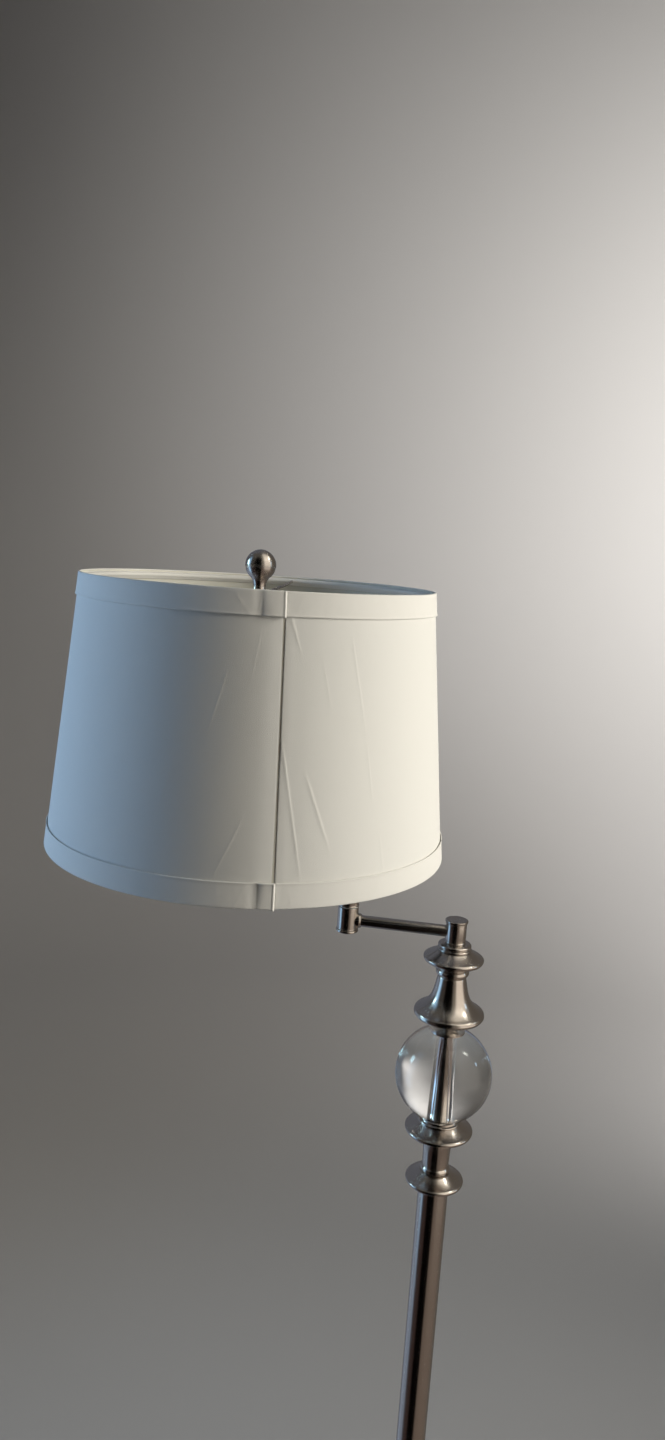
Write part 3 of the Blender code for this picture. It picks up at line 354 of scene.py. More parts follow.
def meshOf(name, points, faces):
    mesh = bpy.data.meshes.new(name)
    mesh.from_pydata([tuple(p) for p in points], [], [tuple(f) for f in faces])
    shape = bmesh.new()
    shape.from_mesh(mesh)
    bmesh.ops.recalc_face_normals(shape, faces=shape.faces)
    shape.to_mesh(mesh)
    shape.free()
    return mesh


# the faces of a grid of points, row by row; closed joins the last column to the first
def gridFaces(rows, columns, closed=False, start=0):
    faces = []
    for j in range(rows - 1):
        for k in range(columns if closed else columns - 1):
            a, b = start + j * columns + k, start + j * columns + (k + 1) % columns
            faces.append((a, b, b + columns, a + columns))
    return faces


# a round wall: its outer skin, its inner skin, and a ring at each end
def wallFaces(rows, sides):
    skin = rows * sides
    faces = gridFaces(rows, sides, True) + gridFaces(rows, sides, True, skin)
    for start in (0, skin - sides):
        for k in range(sides):
            a, b = start + k, start + (k + 1) % sides
            faces.append((a, b, b + skin, a + skin))
    return faces


# a turned line in millimetres from steps (radius, height) or (radius, height, bow);
# a list of points among them is one smooth sweep
def turnedLine(steps, ease=0.3, arcParts=10):
    line = [Vector(steps[0][:2])]
    for step in steps[1:]:
        if isinstance(step, list):
            sweep = smoothRoute([(*line[-1], 0), *[(r, h, 0) for r, h in step]], 6)
            line += [Vector((p.x, p.y)) for p in sweep[1:]]
            continue
        radius, height, *bow = step
        start, end = line[-1], Vector((radius, height))
        if bow and bow[0]:
            chord = end - start
            outward = Vector((chord.y, -chord.x)).normalized()
            arc = ((chord.length / 2) ** 2 + bow[0] ** 2) / (2 * abs(bow[0]))
            side = math.copysign(1, bow[0])
            centre = (start + end) / 2 + outward * (bow[0] - side * arc)
            half = math.asin(min(1.0, chord.length / 2 / arc))
            for k in range(1, arcParts):
                turn = side * half * (2 * k / arcParts - 1)
                line.append(centre + Matrix.Rotation(turn, 2) @ (outward * side * arc))
        line.append(end)
    return easedCorners(line, ease)


# rounds each sharp corner of a line
def easedCorners(line, ease, parts=4):
    eased = [line[0]]
    for before, corner, after in zip(line, line[1:], line[2:]):
        inward, onward = before - corner, after - corner
        if not ease or inward.length < 1e-6 or onward.length < 1e-6 or math.pi - inward.angle(onward) < 0.42:
            eased.append(corner)
            continue
        cut = min(ease, 0.45 * inward.length, 0.45 * onward.length)
        first, last = corner + inward.normalized() * cut, corner + onward.normalized() * cut
        for k in range(parts + 1):
            t = k / parts
            eased.append(first * (1 - t) ** 2 + corner * 2 * t * (1 - t) + last * t * t)
    return eased + [line[-1]]


# turns a line about an axis: "Z" upright, "X" with heights towards -X, "Y" with heights towards -Y
def turnedMesh(name, line, origin, sides=96, axis="Z"):
    closed = line[0][0] > 1e-6
    points, rings = [], []
    for radius, height in line:
        if radius < 1e-6:
            rings.append([len(points)] * sides)
            points.append((0, 0, height))
            continue
        rings.append(list(range(len(points), len(points) + sides)))
        for k in range(sides):
            a = 2 * math.pi * k / sides
            points.append((radius * math.cos(a), radius * math.sin(a), height))
    pairs = list(zip(rings, rings[1:])) + ([(rings[-1], rings[0])] if closed else [])
    faces = []
    for low, high in pairs:
        for k in range(sides):
            corners = (low[k], low[(k + 1) % sides], high[(k + 1) % sides], high[k])
            face = tuple(dict.fromkeys(corners))
            if len(face) > 2:
                faces.append(face)
    mesh = meshOf(name, points, faces)
    mesh.transform(Matrix.Scale(mm, 4))
    if axis == "Y":
        mesh.transform(Matrix.Rotation(math.radians(90), 4, "X"))
    if axis == "X":
        mesh.transform(Matrix.Rotation(math.radians(-90), 4, "Y"))
    mesh.transform(Matrix.Translation(origin))
    return mesh


def turnedPiece(name, part, body, finish, axisAt=columnAxis):
    node = part["node"]
    origin = (*axisAt, nodeLow(node).z)
    line = turnedLine(part["steps"], part.get("ease", 0.3), part.get("arcParts", 10))
    mesh = turnedMesh(name, line, origin, part.get("sides", 96))
    return addPiece(name, mesh, finish, body, [node])


# a round wire along a line of points
def wireMesh(name, route, radius, sides=14, closed=False):
    route = [Vector(p) for p in route]
    count = len(route)
    tangents = []
    for k in range(count):
        ahead = route[(k + 1) % count] if closed or k + 1 < count else route[k]
        behind = route[k - 1] if closed or k else route[k]
        tangents.append((ahead - behind).normalized())
    side = tangents[0].orthogonal().normalized()
    points, faces = [], []
    for spot, tangent in zip(route, tangents):
        side = (side - tangent * side.dot(tangent)).normalized()
        other = tangent.cross(side)
        for k in range(sides):
            a = 2 * math.pi * k / sides
            points.append(spot + (side * math.cos(a) + other * math.sin(a)) * radius)
    for ring in range(count if closed else count - 1):
        low, high = ring * sides, (ring + 1) % count * sides
        for k in range(sides):
            faces.append((low + k, low + (k + 1) % sides, high + (k + 1) % sides, high + k))
    if not closed:
        faces.append(tuple(range(sides)))
        faces.append(tuple(range((count - 1) * sides, count * sides)))
    return meshOf(name, points, faces)


# a smooth line through points
def smoothRoute(points, parts=12):
    points = [Vector(p) for p in points]
    padded = [2 * points[0] - points[1], *points, 2 * points[-1] - points[-2]]
    route = []
    for a, b, c, d in zip(padded, padded[1:], padded[2:], padded[3:]):
        for k in range(parts):
            t = k / parts
            route.append(0.5 * (2 * b + (c - a) * t + (2 * a - 5 * b + 4 * c - d) * t**2
                                + (3 * b - a - 3 * c + d) * t**3))
    return route + [points[-1]]


def joined(name, meshes):
    shape = bmesh.new()
    for mesh in meshes:
        shape.from_mesh(mesh)
    mesh = bpy.data.meshes.new(name)
    shape.to_mesh(mesh)
    shape.free()
    return mesh


# base and pole
basePad = {"node": "base_pad", "sides": 128, "ease": 0.6,
           "steps": [(0, 0.4), (40, 0), (133.2, 0), (134, 0.8), (134, 3), (0, 3)]}
turnedPiece("basePad", basePad, "stand", pad)

baseCover = {"node": "base_cover", "sides": 160, "ease": 0.5, "steps": [
    (138.5, 0), (139.6, 0), (140, 0.8), (140, 8.6), (139.2, 11.2, 0.35), (135.6, 13.6, 0.7), (129.6, 14.4, -0.15),
    (128.4, 14.7), (127.6, 16.6), (126.6, 18.0, -0.3), (44.4, 32.3, 3.5), (42.6, 33.2), (41.8, 34), (5.1, 34),
    (5.1, 32.5), (42, 31.2), (126.4, 16.3, -3.2), (127, 13), (135, 12.4), (138.5, 9)]}
turnedPiece("baseCover", baseCover, "stand", columnNickel)

footCollar = {"node": "foot_collar", "steps": [
    (5.1, 0), (35.6, 0), (37.6, 1.2, 0.3), (37.9, 3.4, 0.4), (36.6, 5.6, 0.5), (34.0, 6.4), (20.6, 20.0, -4.2),
    (19.9, 21.2), (20.0, 25.6, 1.3), (18.3, 26.6), (17.9, 28.5), (17.6, 39.6, -0.35), (18.1, 41.2),
    (18.3, 44.6, 1.0), (17.3, 45.6), (15.4, 46), (15.3, 34), (5.1, 34)]}
turnedPiece("footCollar", footCollar, "stand", columnNickel)


def polePart(name, node):
    length = nodeTall(node)
    steps = [(13.8, 0.4), (14.2, 0), (14.6, 0), (15, 0.5), (15, length - 0.5), (14.6, length), (14.2, length),
             (13.8, length - 0.4)]
    turnedPiece(name, {"node": node, "steps": steps, "ease": 0.15}, "stand", columnNickel)


polePart("lowerPole", "lower_pole")
polePart("upperPole", "upper_pole")
poleJoint = {"node": "pole_joint", "ease": 0.25, "steps": [
    (5.1, 0), (13.5, 0), (13.5, 13.9), (15.2, 14), (15.2, 20, 1.05), (13.5, 20.1), (13.5, 34), (5.1, 34)]}
turnedPiece("poleJoint", poleJoint, "stand", columnNickel)
print("base and pole are turned")

# column head
lowerDisc = {"node": "lower_disc", "ease": 0.35, "steps": [
    (5.1, 0), (14.4, 0), (15.2, 0.5), (25.4, 5.8, 0.5), (26.9, 6.7), (28.7, 9.0, 0.5), (27.9, 11.0, 0.5),
    (26.6, 11.7, 0.1), (16.8, 17.3, -0.5), (16.0, 18.0), (15.2, 18.5), (5.1, 18.5)]}
turnedPiece("lowerDisc", lowerDisc, "stand", columnNickel)

spool = {"node": "spool", "ease": 0.35, "steps": [
    (5.1, 0), (13.0, 0), (13.4, 0.4), (13.4, 5.4, 1.2), (12.9, 6.0),
    [(13.1, 8.0), (13.3, 14.0), (13.5, 20.0), (14.2, 27.0), (15.6, 33.0), (17.0, 36.6)], (5.1, 36.6)]}
turnedPiece("spool", spool, "stand", columnNickel)

ballDish = {"node": "ball_dish", "ease": 0.35, "steps": [
    (5.1, 0), (16.8, 0), (17.6, 0.5), (29.8, 4.6, 0.7), (31.4, 5.6), (33.3, 7.9, 0.5), (32.5, 9.9, 0.5),
    (31.0, 10.7, 0.1), (21.6, 16.3, -0.6), (20.8, 17.0), (20.8, 19.4, 0.6), (19.2, 19.9), (18.9, 20.4),
    (18.4, 21.8, 0.4), (17.2, 22.1), (16.1, 22.1), (14.5, 18.1), (5.1, 18.1)]}
turnedPiece("ballDish", ballDish, "stand", columnNickel)

ball = {"radius": 47.3, "bore": 7.3, "rings": 72}


def glassBall():
    low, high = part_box("glass_ball")
    rise = math.sqrt(ball["radius"] ** 2 - ball["bore"] ** 2)
    start = math.atan2(-rise, ball["bore"])
    line = [(ball["radius"] * math.cos(a), ball["radius"] * math.sin(a))
            for a in np.linspace(start, -start, ball["rings"])]
    mesh = turnedMesh("glassBall", line, (0, 0, (low.z + high.z) / 2), 128)
    addPiece("glassBall", mesh, glass, "stand", ["glass_ball"], 60)


glassBall()
tubeLength = nodeTall("ball_tube")
ballTube = {"node": "ball_tube", "sides": 64, "ease": 0.2,
            "steps": [(5.25, 0), (6.35, 0), (6.35, tubeLength), (5.25, tubeLength)]}
turnedPiece("ballTube", ballTube, "stand", columnNickel)

bell = {"node": "bell", "ease": 0.35, "steps": [
    (5.1, 4), (14.5, 4), (16.0, 0), (17.4, 0), (18.0, 4.6, -0.3), (28.4, 13.6, -1.0), (31.4, 15.2),
    (33.4, 17.0, 0.35), (33.9, 19.6, 0.5), (32.6, 22.0, 0.4),
    [(29.0, 24.0), (25.0, 27.0), (21.3, 31.2), (18.5, 36.2), (16.6, 42.2), (15.1, 49.0), (13.8, 56.0)],
    (13.3, 56.9), (5.1, 56.9)]}
turnedPiece("bell", bell, "stand", columnNickel)

beadRing = {"node": "bead_ring", "ease": 0.3, "steps": [
    (5.1, 0), (13.6, 0), (14.2, 0.5), (14.2, 7.6, 1.9), (13.6, 8.3), (5.1, 8.3)]}
turnedPiece("beadRing", beadRing, "stand", columnNickel)

topDisc = {"node": "top_disc", "ease": 0.35, "steps": [
    (5.3, 0), (14.2, 0), (15.0, 0.6), (25.4, 5.1, 0.5), (26.9, 6.0), (28.9, 8.6, 0.5), (28.1, 10.6, 0.5),
    (26.8, 11.4, 0.1), (17.4, 16.4, -0.3), (16.8, 16.9), (16.2, 17.3), (5.3, 17.3)]}
turnedPiece("topDisc", topDisc, "stand", columnNickel)

pivotSeat = {"node": "pivot_seat", "ease": 0.2, "steps": [
    (5.3, 0), (15.9, 0), (16.1, 0.3), (15.9, 2.2, 0.45), (15.0, 2.6), (14.8, 2.9), (14.2, 6.4, 1.5), (12.6, 6.9, 0.1),
    (10.4, 7.2, -0.1), (5.3, 7.2)]}
turnedPiece("pivotSeat", pivotSeat, "stand", columnNickel)
print("column head is turned")

# arms
hubLooks = {"radius": 10.0, "bore": 7.1, "ease": 0.5}


def hubPiece(name, node, body, finish, axisAt, flareLow=0.0, flareHigh=0.0):
    height = nodeTall(node)
    r = hubLooks["radius"]
    steps = [(hubLooks["bore"], 0), (r + flareLow, 0), (r + flareLow, 0.8),
             (r, 0.8 + 4 * flareLow, -0.1 - flareLow / 3), (r, height - 0.8 - 4 * flareHigh),
             (r + flareHigh, height - 0.8, -0.1 - flareHigh / 3), (r + flareHigh, height), (hubLooks["bore"], height)]
    turnedPiece(name, {"node": node, "steps": steps, "ease": hubLooks["ease"], "sides": 72}, body, finish, axisAt)


capSteps = [(0, 0), (10.4, 0), (10.9, 0.5, 0.1), (11, 1.8), (10.6, 2.4, 0.15), (9.6, 2.7, 0.1), (0, 2.7)]


def capPiece(name, node, body, finish, axisAt, faceDown=False):
    height = nodeTall(node)
    steps = [(r, height - h) for r, h, *bow in reversed(capSteps)] if faceDown else capSteps
    turnedPiece(name, {"node": node, "steps": steps, "ease": 0.3, "sides": 72}, body, finish, axisAt)


def armTube(name, node, body):
    low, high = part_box(node)
    length, radius = (high.x - low.x) / mm, (high.z - low.z) / 2 / mm
    line = turnedLine([(4.6, 0), (radius, 0), (radius, length), (4.6, length)], 0.2)
    mesh = turnedMesh(name, line, (high.x, 0, (low.z + high.z) / 2), 64, "X")
    addPiece(name, mesh, armNickel, body, [node])


hubPiece("shoulderHub", "inner_arm_hub", "inner_arm", columnNickel, columnAxis, 0.3, 0.2)
capPiece("shoulderCap", "pivot_cap", "inner_arm", columnNickel, columnAxis)
armTube("innerArm", "inner_arm_tube", "inner_arm")
hubPiece("kneeLower", "lower_knuckle", "inner_arm", kneeNickel, kneeAxis, 0.2, 0.0)
capPiece("kneeFootCap", "knuckle_bottom_cap", "inner_arm", kneeNickel, kneeAxis, True)
hubPiece("kneeUpper", "upper_knuckle", "outer_arm", kneeNickel, kneeAxis, 0.3, 0.2)
capPiece("kneeTopCap", "knuckle_top_cap", "outer_arm", kneeNickel, kneeAxis)
armTube("outerArm", "outer_arm_tube", "outer_arm")

washerHeight = nodeTall("knuckle_washer")
kneeWasher = {"node": "knuckle_washer", "ease": 0.15, "sides": 72,
              "steps": [(4.6, 0), (9.4, 0), (9.4, washerHeight), (4.6, washerHeight)]}
turnedPiece("kneeWasher", kneeWasher, "inner_arm", nylon, kneeAxis)

# the round boss that the arm's end stands in, on the knee's side
kneeBoss = {"reach": 13.4, "steps": [(5.6, 0), (5.9, 0), (6.7, 0.9, 0.3), (7.1, 3.0, 0.2), (6.9, 5.4), (5.7, 5.4)]}
armHeight = (nodeLow("inner_arm_tube").z + nodeHigh("inner_arm_tube").z) / 2
bossLine = turnedLine(kneeBoss["steps"], 0.2)
bossMesh = turnedMesh("kneeBoss", bossLine, (kneeAxis[0] + kneeBoss["reach"] * mm, 0, armHeight), 64, "X")
addPiece("kneeBoss", bossMesh, armNickel, "inner_arm")

endHub = {"node": "end_hub", "ease": 0.3, "sides": 72, "steps": [
    (0, 0), (7.4, 0), (9.0, 0.7, 0.3), (10, 2.2, 0.3), (10, 18.9), (9.5, 19.5), (4.6, 19.5), (4.6, 2), (0, 2)]}
turnedPiece("endHub", endHub, "outer_arm", holderNickel, holderAxis)
print("arms are hung")

# lamp holder
riserTop = nodeTall("socket_riser")
socketRiser = {"node": "socket_riser", "ease": 0.4, "sides": 64, "steps": [
    (2.7, 0), (4.2, 0), (4.2, 17.5), (7.0, 17.5), (7.5, 18.2), (7.5, 20.0), (6.4, 21.4, -0.3), (6.2, 28.4, -0.2),
    (7.5, 31.2, -0.4), (7.5, 32.8), (4.2, 32.8), (4.2, riserTop), (2.7, riserTop)]}
turnedPiece("socketRiser", socketRiser, "outer_arm", holderNickel, holderAxis)

saddle = {"thickness": 1.5, "halfWidth": 6.0, "disc": 9.0, "shoulder": 10.0, "tipHeight": 17.5, "tipHalf": 2.0,
          "foot": 28.0, "bend": 3.0}


# a steel strip with a round middle, bent up at both ends
def saddleMesh():
    base = nodeLow("harp_saddle").z / mm
    half, t, bend = saddle["foot"] + saddle["thickness"] / 2, saddle["thickness"], saddle["bend"]
    stations = [(0.0, 0.0, 0.0, 0.0)]
    for k in range(1, 9):
        stations.append((saddle["disc"] * 1.15 * k / 8, 0.0, 0.0, 0.0))
    for k in range(7):
        a = math.radians(90 * k / 6)
        stations.append((half - bend + bend * math.sin(a), bend - bend * math.cos(a), a, 0.0))
    stations += [(half, h, math.pi / 2, 0.0) for h in (6.0, saddle["shoulder"] - 0.4)]
    stations += [(half, saddle["shoulder"], math.pi / 2, 1.0), (half, saddle["tipHeight"] - 1.0, math.pi / 2, 1.0),
                 (half, saddle["tipHeight"], math.pi / 2, 2.0)]
    points, faces = [], []
    for side in (-1, 1):
        start = len(points)
        for x, h, a, step in stations:
            width = saddle["halfWidth"] if step == 0 else saddle["tipHalf"] * (1.0 if step == 1 else 0.55)
            if x < saddle["disc"] and h == 0:
                width = max(width, math.sqrt(max(0.0, saddle["disc"] ** 2 - x**2)))
            inner = (x - t * math.sin(a), h + t * math.cos(a))
            for px, ph in ((x, h), inner):
                for y in (-width, width):
                    points.append((side * px, y, ph + base))
        for k in range(len(stations) - 1):
            a, b = start + 4 * k, start + 4 * (k + 1)
            faces += [(a, a + 1, b + 1, b), (a + 2, a + 3, b + 3, b + 2), (a, a + 2, b + 2, b),
                      (a + 1, a + 3, b + 3, b + 1)]
        last = start + 4 * (len(stations) - 1)
        faces.append((last, last + 1, last + 3, last + 2))
    mesh = meshOf("harpSaddle", points, faces)
    shape = bmesh.new()
    shape.from_mesh(mesh)
    bmesh.ops.remove_doubles(shape, verts=shape.verts, dist=0.001)
    middle = [f for f in shape.faces if all(abs(v.co.x) < 1e-4 for v in f.verts)]
    bmesh.ops.delete(shape, geom=middle, context="FACES")
    bmesh.ops.recalc_face_normals(shape, faces=shape.faces)
    shape.to_mesh(mesh)
    shape.free()
    return onHolder(mesh)


addPiece("harpSaddle", saddleMesh(), holderNickel, "outer_arm", ["harp_saddle"])

socketCap = {"node": "socket_cap", "ease": 0.35, "steps": [
    (4.6, 0), (8.2, 0), (9.4, 0.5, 0.1), (16.4, 7.2, 1.6), (17.4, 9.2, 0.2), (17.6, 10.4), (17.6, 13.8), (17.2, 14.4),
    (16.7, 14.4), (16.7, 9.8), (8.8, 0.9, -1.7), (4.6, 0.9)]}
turnedPiece("socketCap", socketCap, "outer_arm", holderNickel, holderAxis)

socketShell = {"node": "socket_shell", "ease": 0.25, "steps": [
    (16.3, 0), (16.7, 0), (17, 0.5), (17, 3.0), (16.6, 3.6), (16.6, 4.6), (17, 5.2), (17, 24.0), (16.6, 24.7),
    (16.6, 25.7), (17, 26.4), (17, 27.6), (16.6, 28.3), (16.6, 29.3), (17, 30.0), (17, 47.2), (16.8, 48.4),
    (16.9, 49.2), (16.3, 49.2)]}
turnedPiece("socketShell", socketShell, "outer_arm", holderNickel, holderAxis)
linerTop = nodeTall("socket_liner")
socketLiner = {"node": "socket_liner", "ease": 0.15, "steps": [(15.3, 0), (16, 0), (16, linerTop), (15.3, linerTop)]}
turnedPiece("socketLiner", socketLiner, "outer_arm", fibre, holderAxis)

thread = {"pitch": 3.6, "depth": 0.55, "sides": 72, "rows": 10}


# a rolled thread: the wall swings in and out once for each turn up
def threadedMesh(name, node, outer, wall, low, high):
    base = nodeLow(node).z / mm
    sides, rows = thread["sides"], int((high - low) / thread["pitch"] * thread["rows"])
    points = []
    for layer in (0.0, wall):
        for j in range(rows + 1):
            h = low + (high - low) * j / rows
            fade = min(1.0, (h - low) / 1.5, (high - h) / 1.5)
            for k in range(sides):
                a = 2 * math.pi * k / sides
                wave = math.cos(2 * math.pi * h / thread["pitch"] - a)
                r = outer - layer - thread["depth"] * (0.5 - 0.5 * wave * max(0.0, fade))
                points.append((r * math.cos(a), r * math.sin(a), h + base))
    mesh = meshOf(name, points, wallFaces(rows + 1, sides))
    return onHolder(mesh)


screwTop = nodeTall("screw_shell")
addPiece("screwShell", threadedMesh("screwShell", "screw_shell", 14.3, 0.5, 0, screwTop), aluminium, "outer_arm",
         ["screw_shell"])

knob = {"ribs": 18, "groove": 0.45, "ribbedFrom": 5.5}


def knobMesh():
    low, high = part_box("switch_knob")
    centre = ((low.x + high.x) / 2, high.y, (low.z + high.z) / 2)
    line = turnedLine([(1.9, 0), (5.4, 0), (5.6, 0.4), (6.4, 2.6, -0.1), (6.8, 3.2), (6.8, 11.6), (6.3, 13.0, 0.2),
                       (5.2, 13.8, 0.2), (0, 14.0)], 0.2)
    mesh = turnedMesh("switchKnob", [(0, 12), (1.9, 12), *line], (0, 0, 0), 8 * knob["ribs"], "Y")
    ribbedFrom = knob["ribbedFrom"] * mm
    for v in mesh.vertices:
        out = math.hypot(v.co.x, v.co.z)
        if out > ribbedFrom:
            groove = 0.5 - 0.5 * math.cos(knob["ribs"] * math.atan2(v.co.z, v.co.x))
            share = 1 - knob["groove"] * mm * groove**3 * min(1.0, (out - ribbedFrom) / mm) / out
            v.co.x, v.co.z = v.co.x * share, v.co.z * share
    mesh.transform(Matrix.Translation(centre))
    return mesh


addPiece("switchKnob", knobMesh(), blackPlastic, "switch", ["switch_knob"], 30)
print("lamp holder is built")

# bulb
bulb = {"wall": 0.9, "top": 85, "sides": 80, "outline": [
    (12.2, 0), (12.2, 3.5), (12.7, 8.5), (14.6, 15.5), (18.2, 24.5), (22.6, 33.0), (26.6, 41.5), (29.2, 49.5),
    (30.0, 56.5), (29.2, 63.5), (26.6, 70.4), (22.2, 76.4), (16.2, 81.3), (8.6, 84.2), (0, 85)]}


def bulbMesh():
    wall, top = bulb["wall"], bulb["top"]
    route = smoothRoute([(r, h, 0) for r, h in bulb["outline"]], 6)
    outer = [(max(0.0, p.x), p.y) for p in route]
    inner = [(max(0.0, r - wall), h - wall * h / top) for r, h in reversed(outer)]
    outer[-1], inner[0] = (0, top), (0, top - wall)
    return turnedMesh("bulbGlobe", outer + inner, (*holderAxis, nodeLow("bulb_globe").z), bulb["sides"])


addPiece("bulbGlobe", bulbMesh(), frosted, "bulb", ["bulb_globe"], 70)
capTop = nodeTall("bulb_base")
bulbThread = threadedMesh("bulbThread", "bulb_base", 13.0, 0.6, 6.0, capTop - 1.0)
addPiece("bulbThread", bulbThread, aluminium, "bulb", ["bulb_base"])
bulbTip = turnedMesh("bulbTip", turnedLine([(0, 0), (4.6, 0.6, 0.4), (10.4, 4.4, 0.3), (12.6, 6.4), (0, 6.4)], 0.3),
                     (*holderAxis, nodeLow("bulb_base").z), 64)
addPiece("bulbTip", bulbTip, blackPlastic, "bulb")
bulbCollar = turnedLine([(11.6, 0), (12.9, 0), (13, 0.5), (12.8, 1.6, 0.2), (11.6, 1.6)], 0.2)
collarAt = (*holderAxis, nodeLow("bulb_base").z + (capTop - 1.6) * mm)
addPiece("bulbCollar", turnedMesh("bulbCollar", bulbCollar, collarAt, 72), aluminium, "bulb")

# harp
harp = {"wire": 1.6, "foot": 28.0, "half": 56.0, "height": 235.0, "straight": 24.0}


def harpMesh():
    base = nodeLow("harp").z / mm
    h, w, foot, straight = harp["height"], harp["half"], harp["foot"], harp["straight"]
    half = [(foot, 0), (foot, 12), (foot + 0.4, straight), (39, 52), (w - 4, straight + 54), (w, straight + 96),
            (w - 4, h - 84), (w - 15, h - 47), (34, h - 26), (20, h - 8.6), (9, h - 1.2), (0, h)]
    route = smoothRoute([(-x, 0, z + base) for x, z in half] + [(x, 0, z + base) for x, z in reversed(half[:-1])], 8)
    mesh = wireMesh("harp", route, harp["wire"], 16)
    return onHolder(mesh)


addPiece("harpWire", harpMesh(), holderNickel, "outer_arm", ["harp"])


def sleevePiece(name, node, body):
    low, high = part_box(node)
    length = (high.z - low.z) / mm
    part = {"node": node, "ease": 0.25, "sides": 48, "steps": [
        (2.6, 0), (3.4, 0), (3.8, 0.6), (3.8, 1.8), (3.3, 2.4), (3.3, length - 3.2), (3.9, length - 2.4),
        (3.9, length - 0.6), (3.5, length), (2.6, length)]}
    turnedPiece(name, part, body, holderNickel, ((low.x + high.x) / 2, 0))


sleevePiece("harpSleeveLeft", "harp_sleeve_left", "left_sleeve")
sleevePiece("harpSleeveRight", "harp_sleeve_right", "right_sleeve")
studTop = nodeTall("harp_stud")
threadSteps = [(3.0 - 0.35 * (k % 2), 2.4 + 0.47 * k) for k in range(int((studTop - 3.4) / 0.47))]
harpStud = {"node": "harp_stud", "ease": 0.0, "sides": 40, "steps": [
    (0, 0), (7.4, 0), (8, 0.5), (8, 1.2), (7.6, 1.6), (3.4, 1.6), *threadSteps, (2.4, studTop), (0, studTop)]}
turnedPiece("harpStud", harpStud, "outer_arm", holderNickel, holderAxis)
print("harp and bulb are in")

# shade
shade = {"seam": -70.0, "topRadius": 165.1, "rows": 150, "tape": 0.7, "gap": 0.3, "thickness": 0.5}
shadeTop, shadeFoot = nodeHigh("shade_top_trim").z / mm, nodeLow("shade_bottom_trim").z / mm
topRadius = shade["topRadius"]
footRadius = (nodeHigh("shade_bottom_trim").x - nodeLow("shade_bottom_trim").x) / 2 / mm
seamAt = math.radians(shade["seam"])


def shadeRadius(height):
    share = (height - shadeFoot) / (shadeTop - shadeFoot)
    return footRadius + (topRadius - footRadius) * share


# a sheet from a grid of points, with a map in metres of cloth
def clothMesh(name, grid, lengths):
    mesh = bpy.data.meshes.new(name)
    mesh.from_pydata([tuple(c * mm for c in p) for row in grid for p in row], [], gridFaces(len(grid), len(grid[0])))
    layer = mesh.uv_layers.new(name="cloth")
    flat = [uv for row in lengths for uv in row]
    for loop in mesh.loops:
        u, v = flat[loop.vertex_index]
        layer.data[loop.index].uv = (u * mm, v * mm)
    mesh.transform(Matrix.Translation((holderAxis[0], 0, 0)))
    return mesh


# creases that run down from the seam: start and end as (arc from the seam, share of the height), then the depth
creases = [(1.5, 0.97, 16, 0.80, 0.26), (1.0, 0.55, 22, 0.05, 0.28), (21, 0.44, 46, 0.155, 0.30),
           (61, 0.88, 78, 0.54, 0.15), (78, 0.52, 86, 0.30, 0.12), (92, 0.22, 99, 0.03, 0.10),
           (34, 0.80, 44, 0.62, 0.10), (-44, 0.76, -60, 0.52, 0.12), (-24, 0.30, -50, 0.06, 0.14),
           (-84, 0.46, -97, 0.26, 0.08), (-18, 0.90, -26, 0.70, 0.08)]


# a crease is steep on one flank and gentle on the other
def creaseLift(arc, share, height):
    lift = 0.0
    for startArc, startShare, endArc, endShare, depth in creases:
        alongX, alongY = endArc - startArc, (endShare - startShare) * height
        fromX, fromY = arc - startArc, (share - startShare) * height
        length = math.hypot(alongX, alongY)
        t = (fromX * alongX + fromY * alongY) / length**2
        off = (fromX * alongY - fromY * alongX) / length
        width = 0.5 if off < 0 else 1.9
        if 0 < t < 1 and abs(off) < 3 * width:
            lift += depth * min(1.0, 6 * t, 3 * (1 - t)) * math.exp(-((off / width) ** 2))
    return lift


# columns stand closer together near the seam, where the creases are
def arcStations():
    middle = (topRadius + footRadius) / 2
    around = 2 * math.pi * middle
    near = 110.0
    fine = np.arange(0.0, near, 0.55)
    coarse = np.linspace(near, around - near, 260)
    back = around - fine[::-1]
    return np.concatenate([fine, coarse[1:-1], back]), around


def shadeSheet():
    arcs, around = arcStations()
    low, high = shadeFoot + 1.2, shadeTop - 1.2
    heights = np.linspace(low, high, shade["rows"])
    slant = math.hypot(high - low, shadeRadius(low) - shadeRadius(high))
    grid, lengths = [], []
    for h in heights:
        share = (h - low) / (high - low)
        outer = shadeRadius(h) - shade["tape"] - 0.3
        row, flat = [], []
        for arc in arcs:
            signed = arc if arc < around / 2 else arc - around
            turn = seamAt + (shade["gap"] + arc * (1 - 2 * shade["gap"] / around)) / around * 2 * math.pi
            if signed >= 0:
                dip = 1.1 * math.exp(-((signed / 0.35) ** 2)) - 0.12 * math.exp(-(((signed - 5) / 4) ** 2))
            else:
                dip = 0.55 * math.exp(-((signed / 9) ** 2)) + 0.35 * math.exp(-((signed / 1.2) ** 2))
            wave = 0.10 * math.sin(5 * turn + 1.3) * math.sin(math.pi * share)
            wave += 0.06 * math.sin(11 * turn + 4 * share)
            r = outer - 0.30 - dip + wave + creaseLift(signed, share, slant)
            row.append((r * math.cos(turn), r * math.sin(turn), h))
            flat.append((arc, share * slant))
        grid.append(row)
        lengths.append(flat)
    return clothMesh("shadeSheet", grid, lengths)


def thicken(piece, offset):
    thickness = piece.modifiers.new("thickness", "SOLIDIFY")
    thickness.thickness, thickness.offset = shade["thickness"] * mm, offset


shadeFabric = addPiece("shadeFabric", shadeSheet(), shadeCloth, "shade", ["shade_fabric"], 50)
thicken(shadeFabric, -1.0)


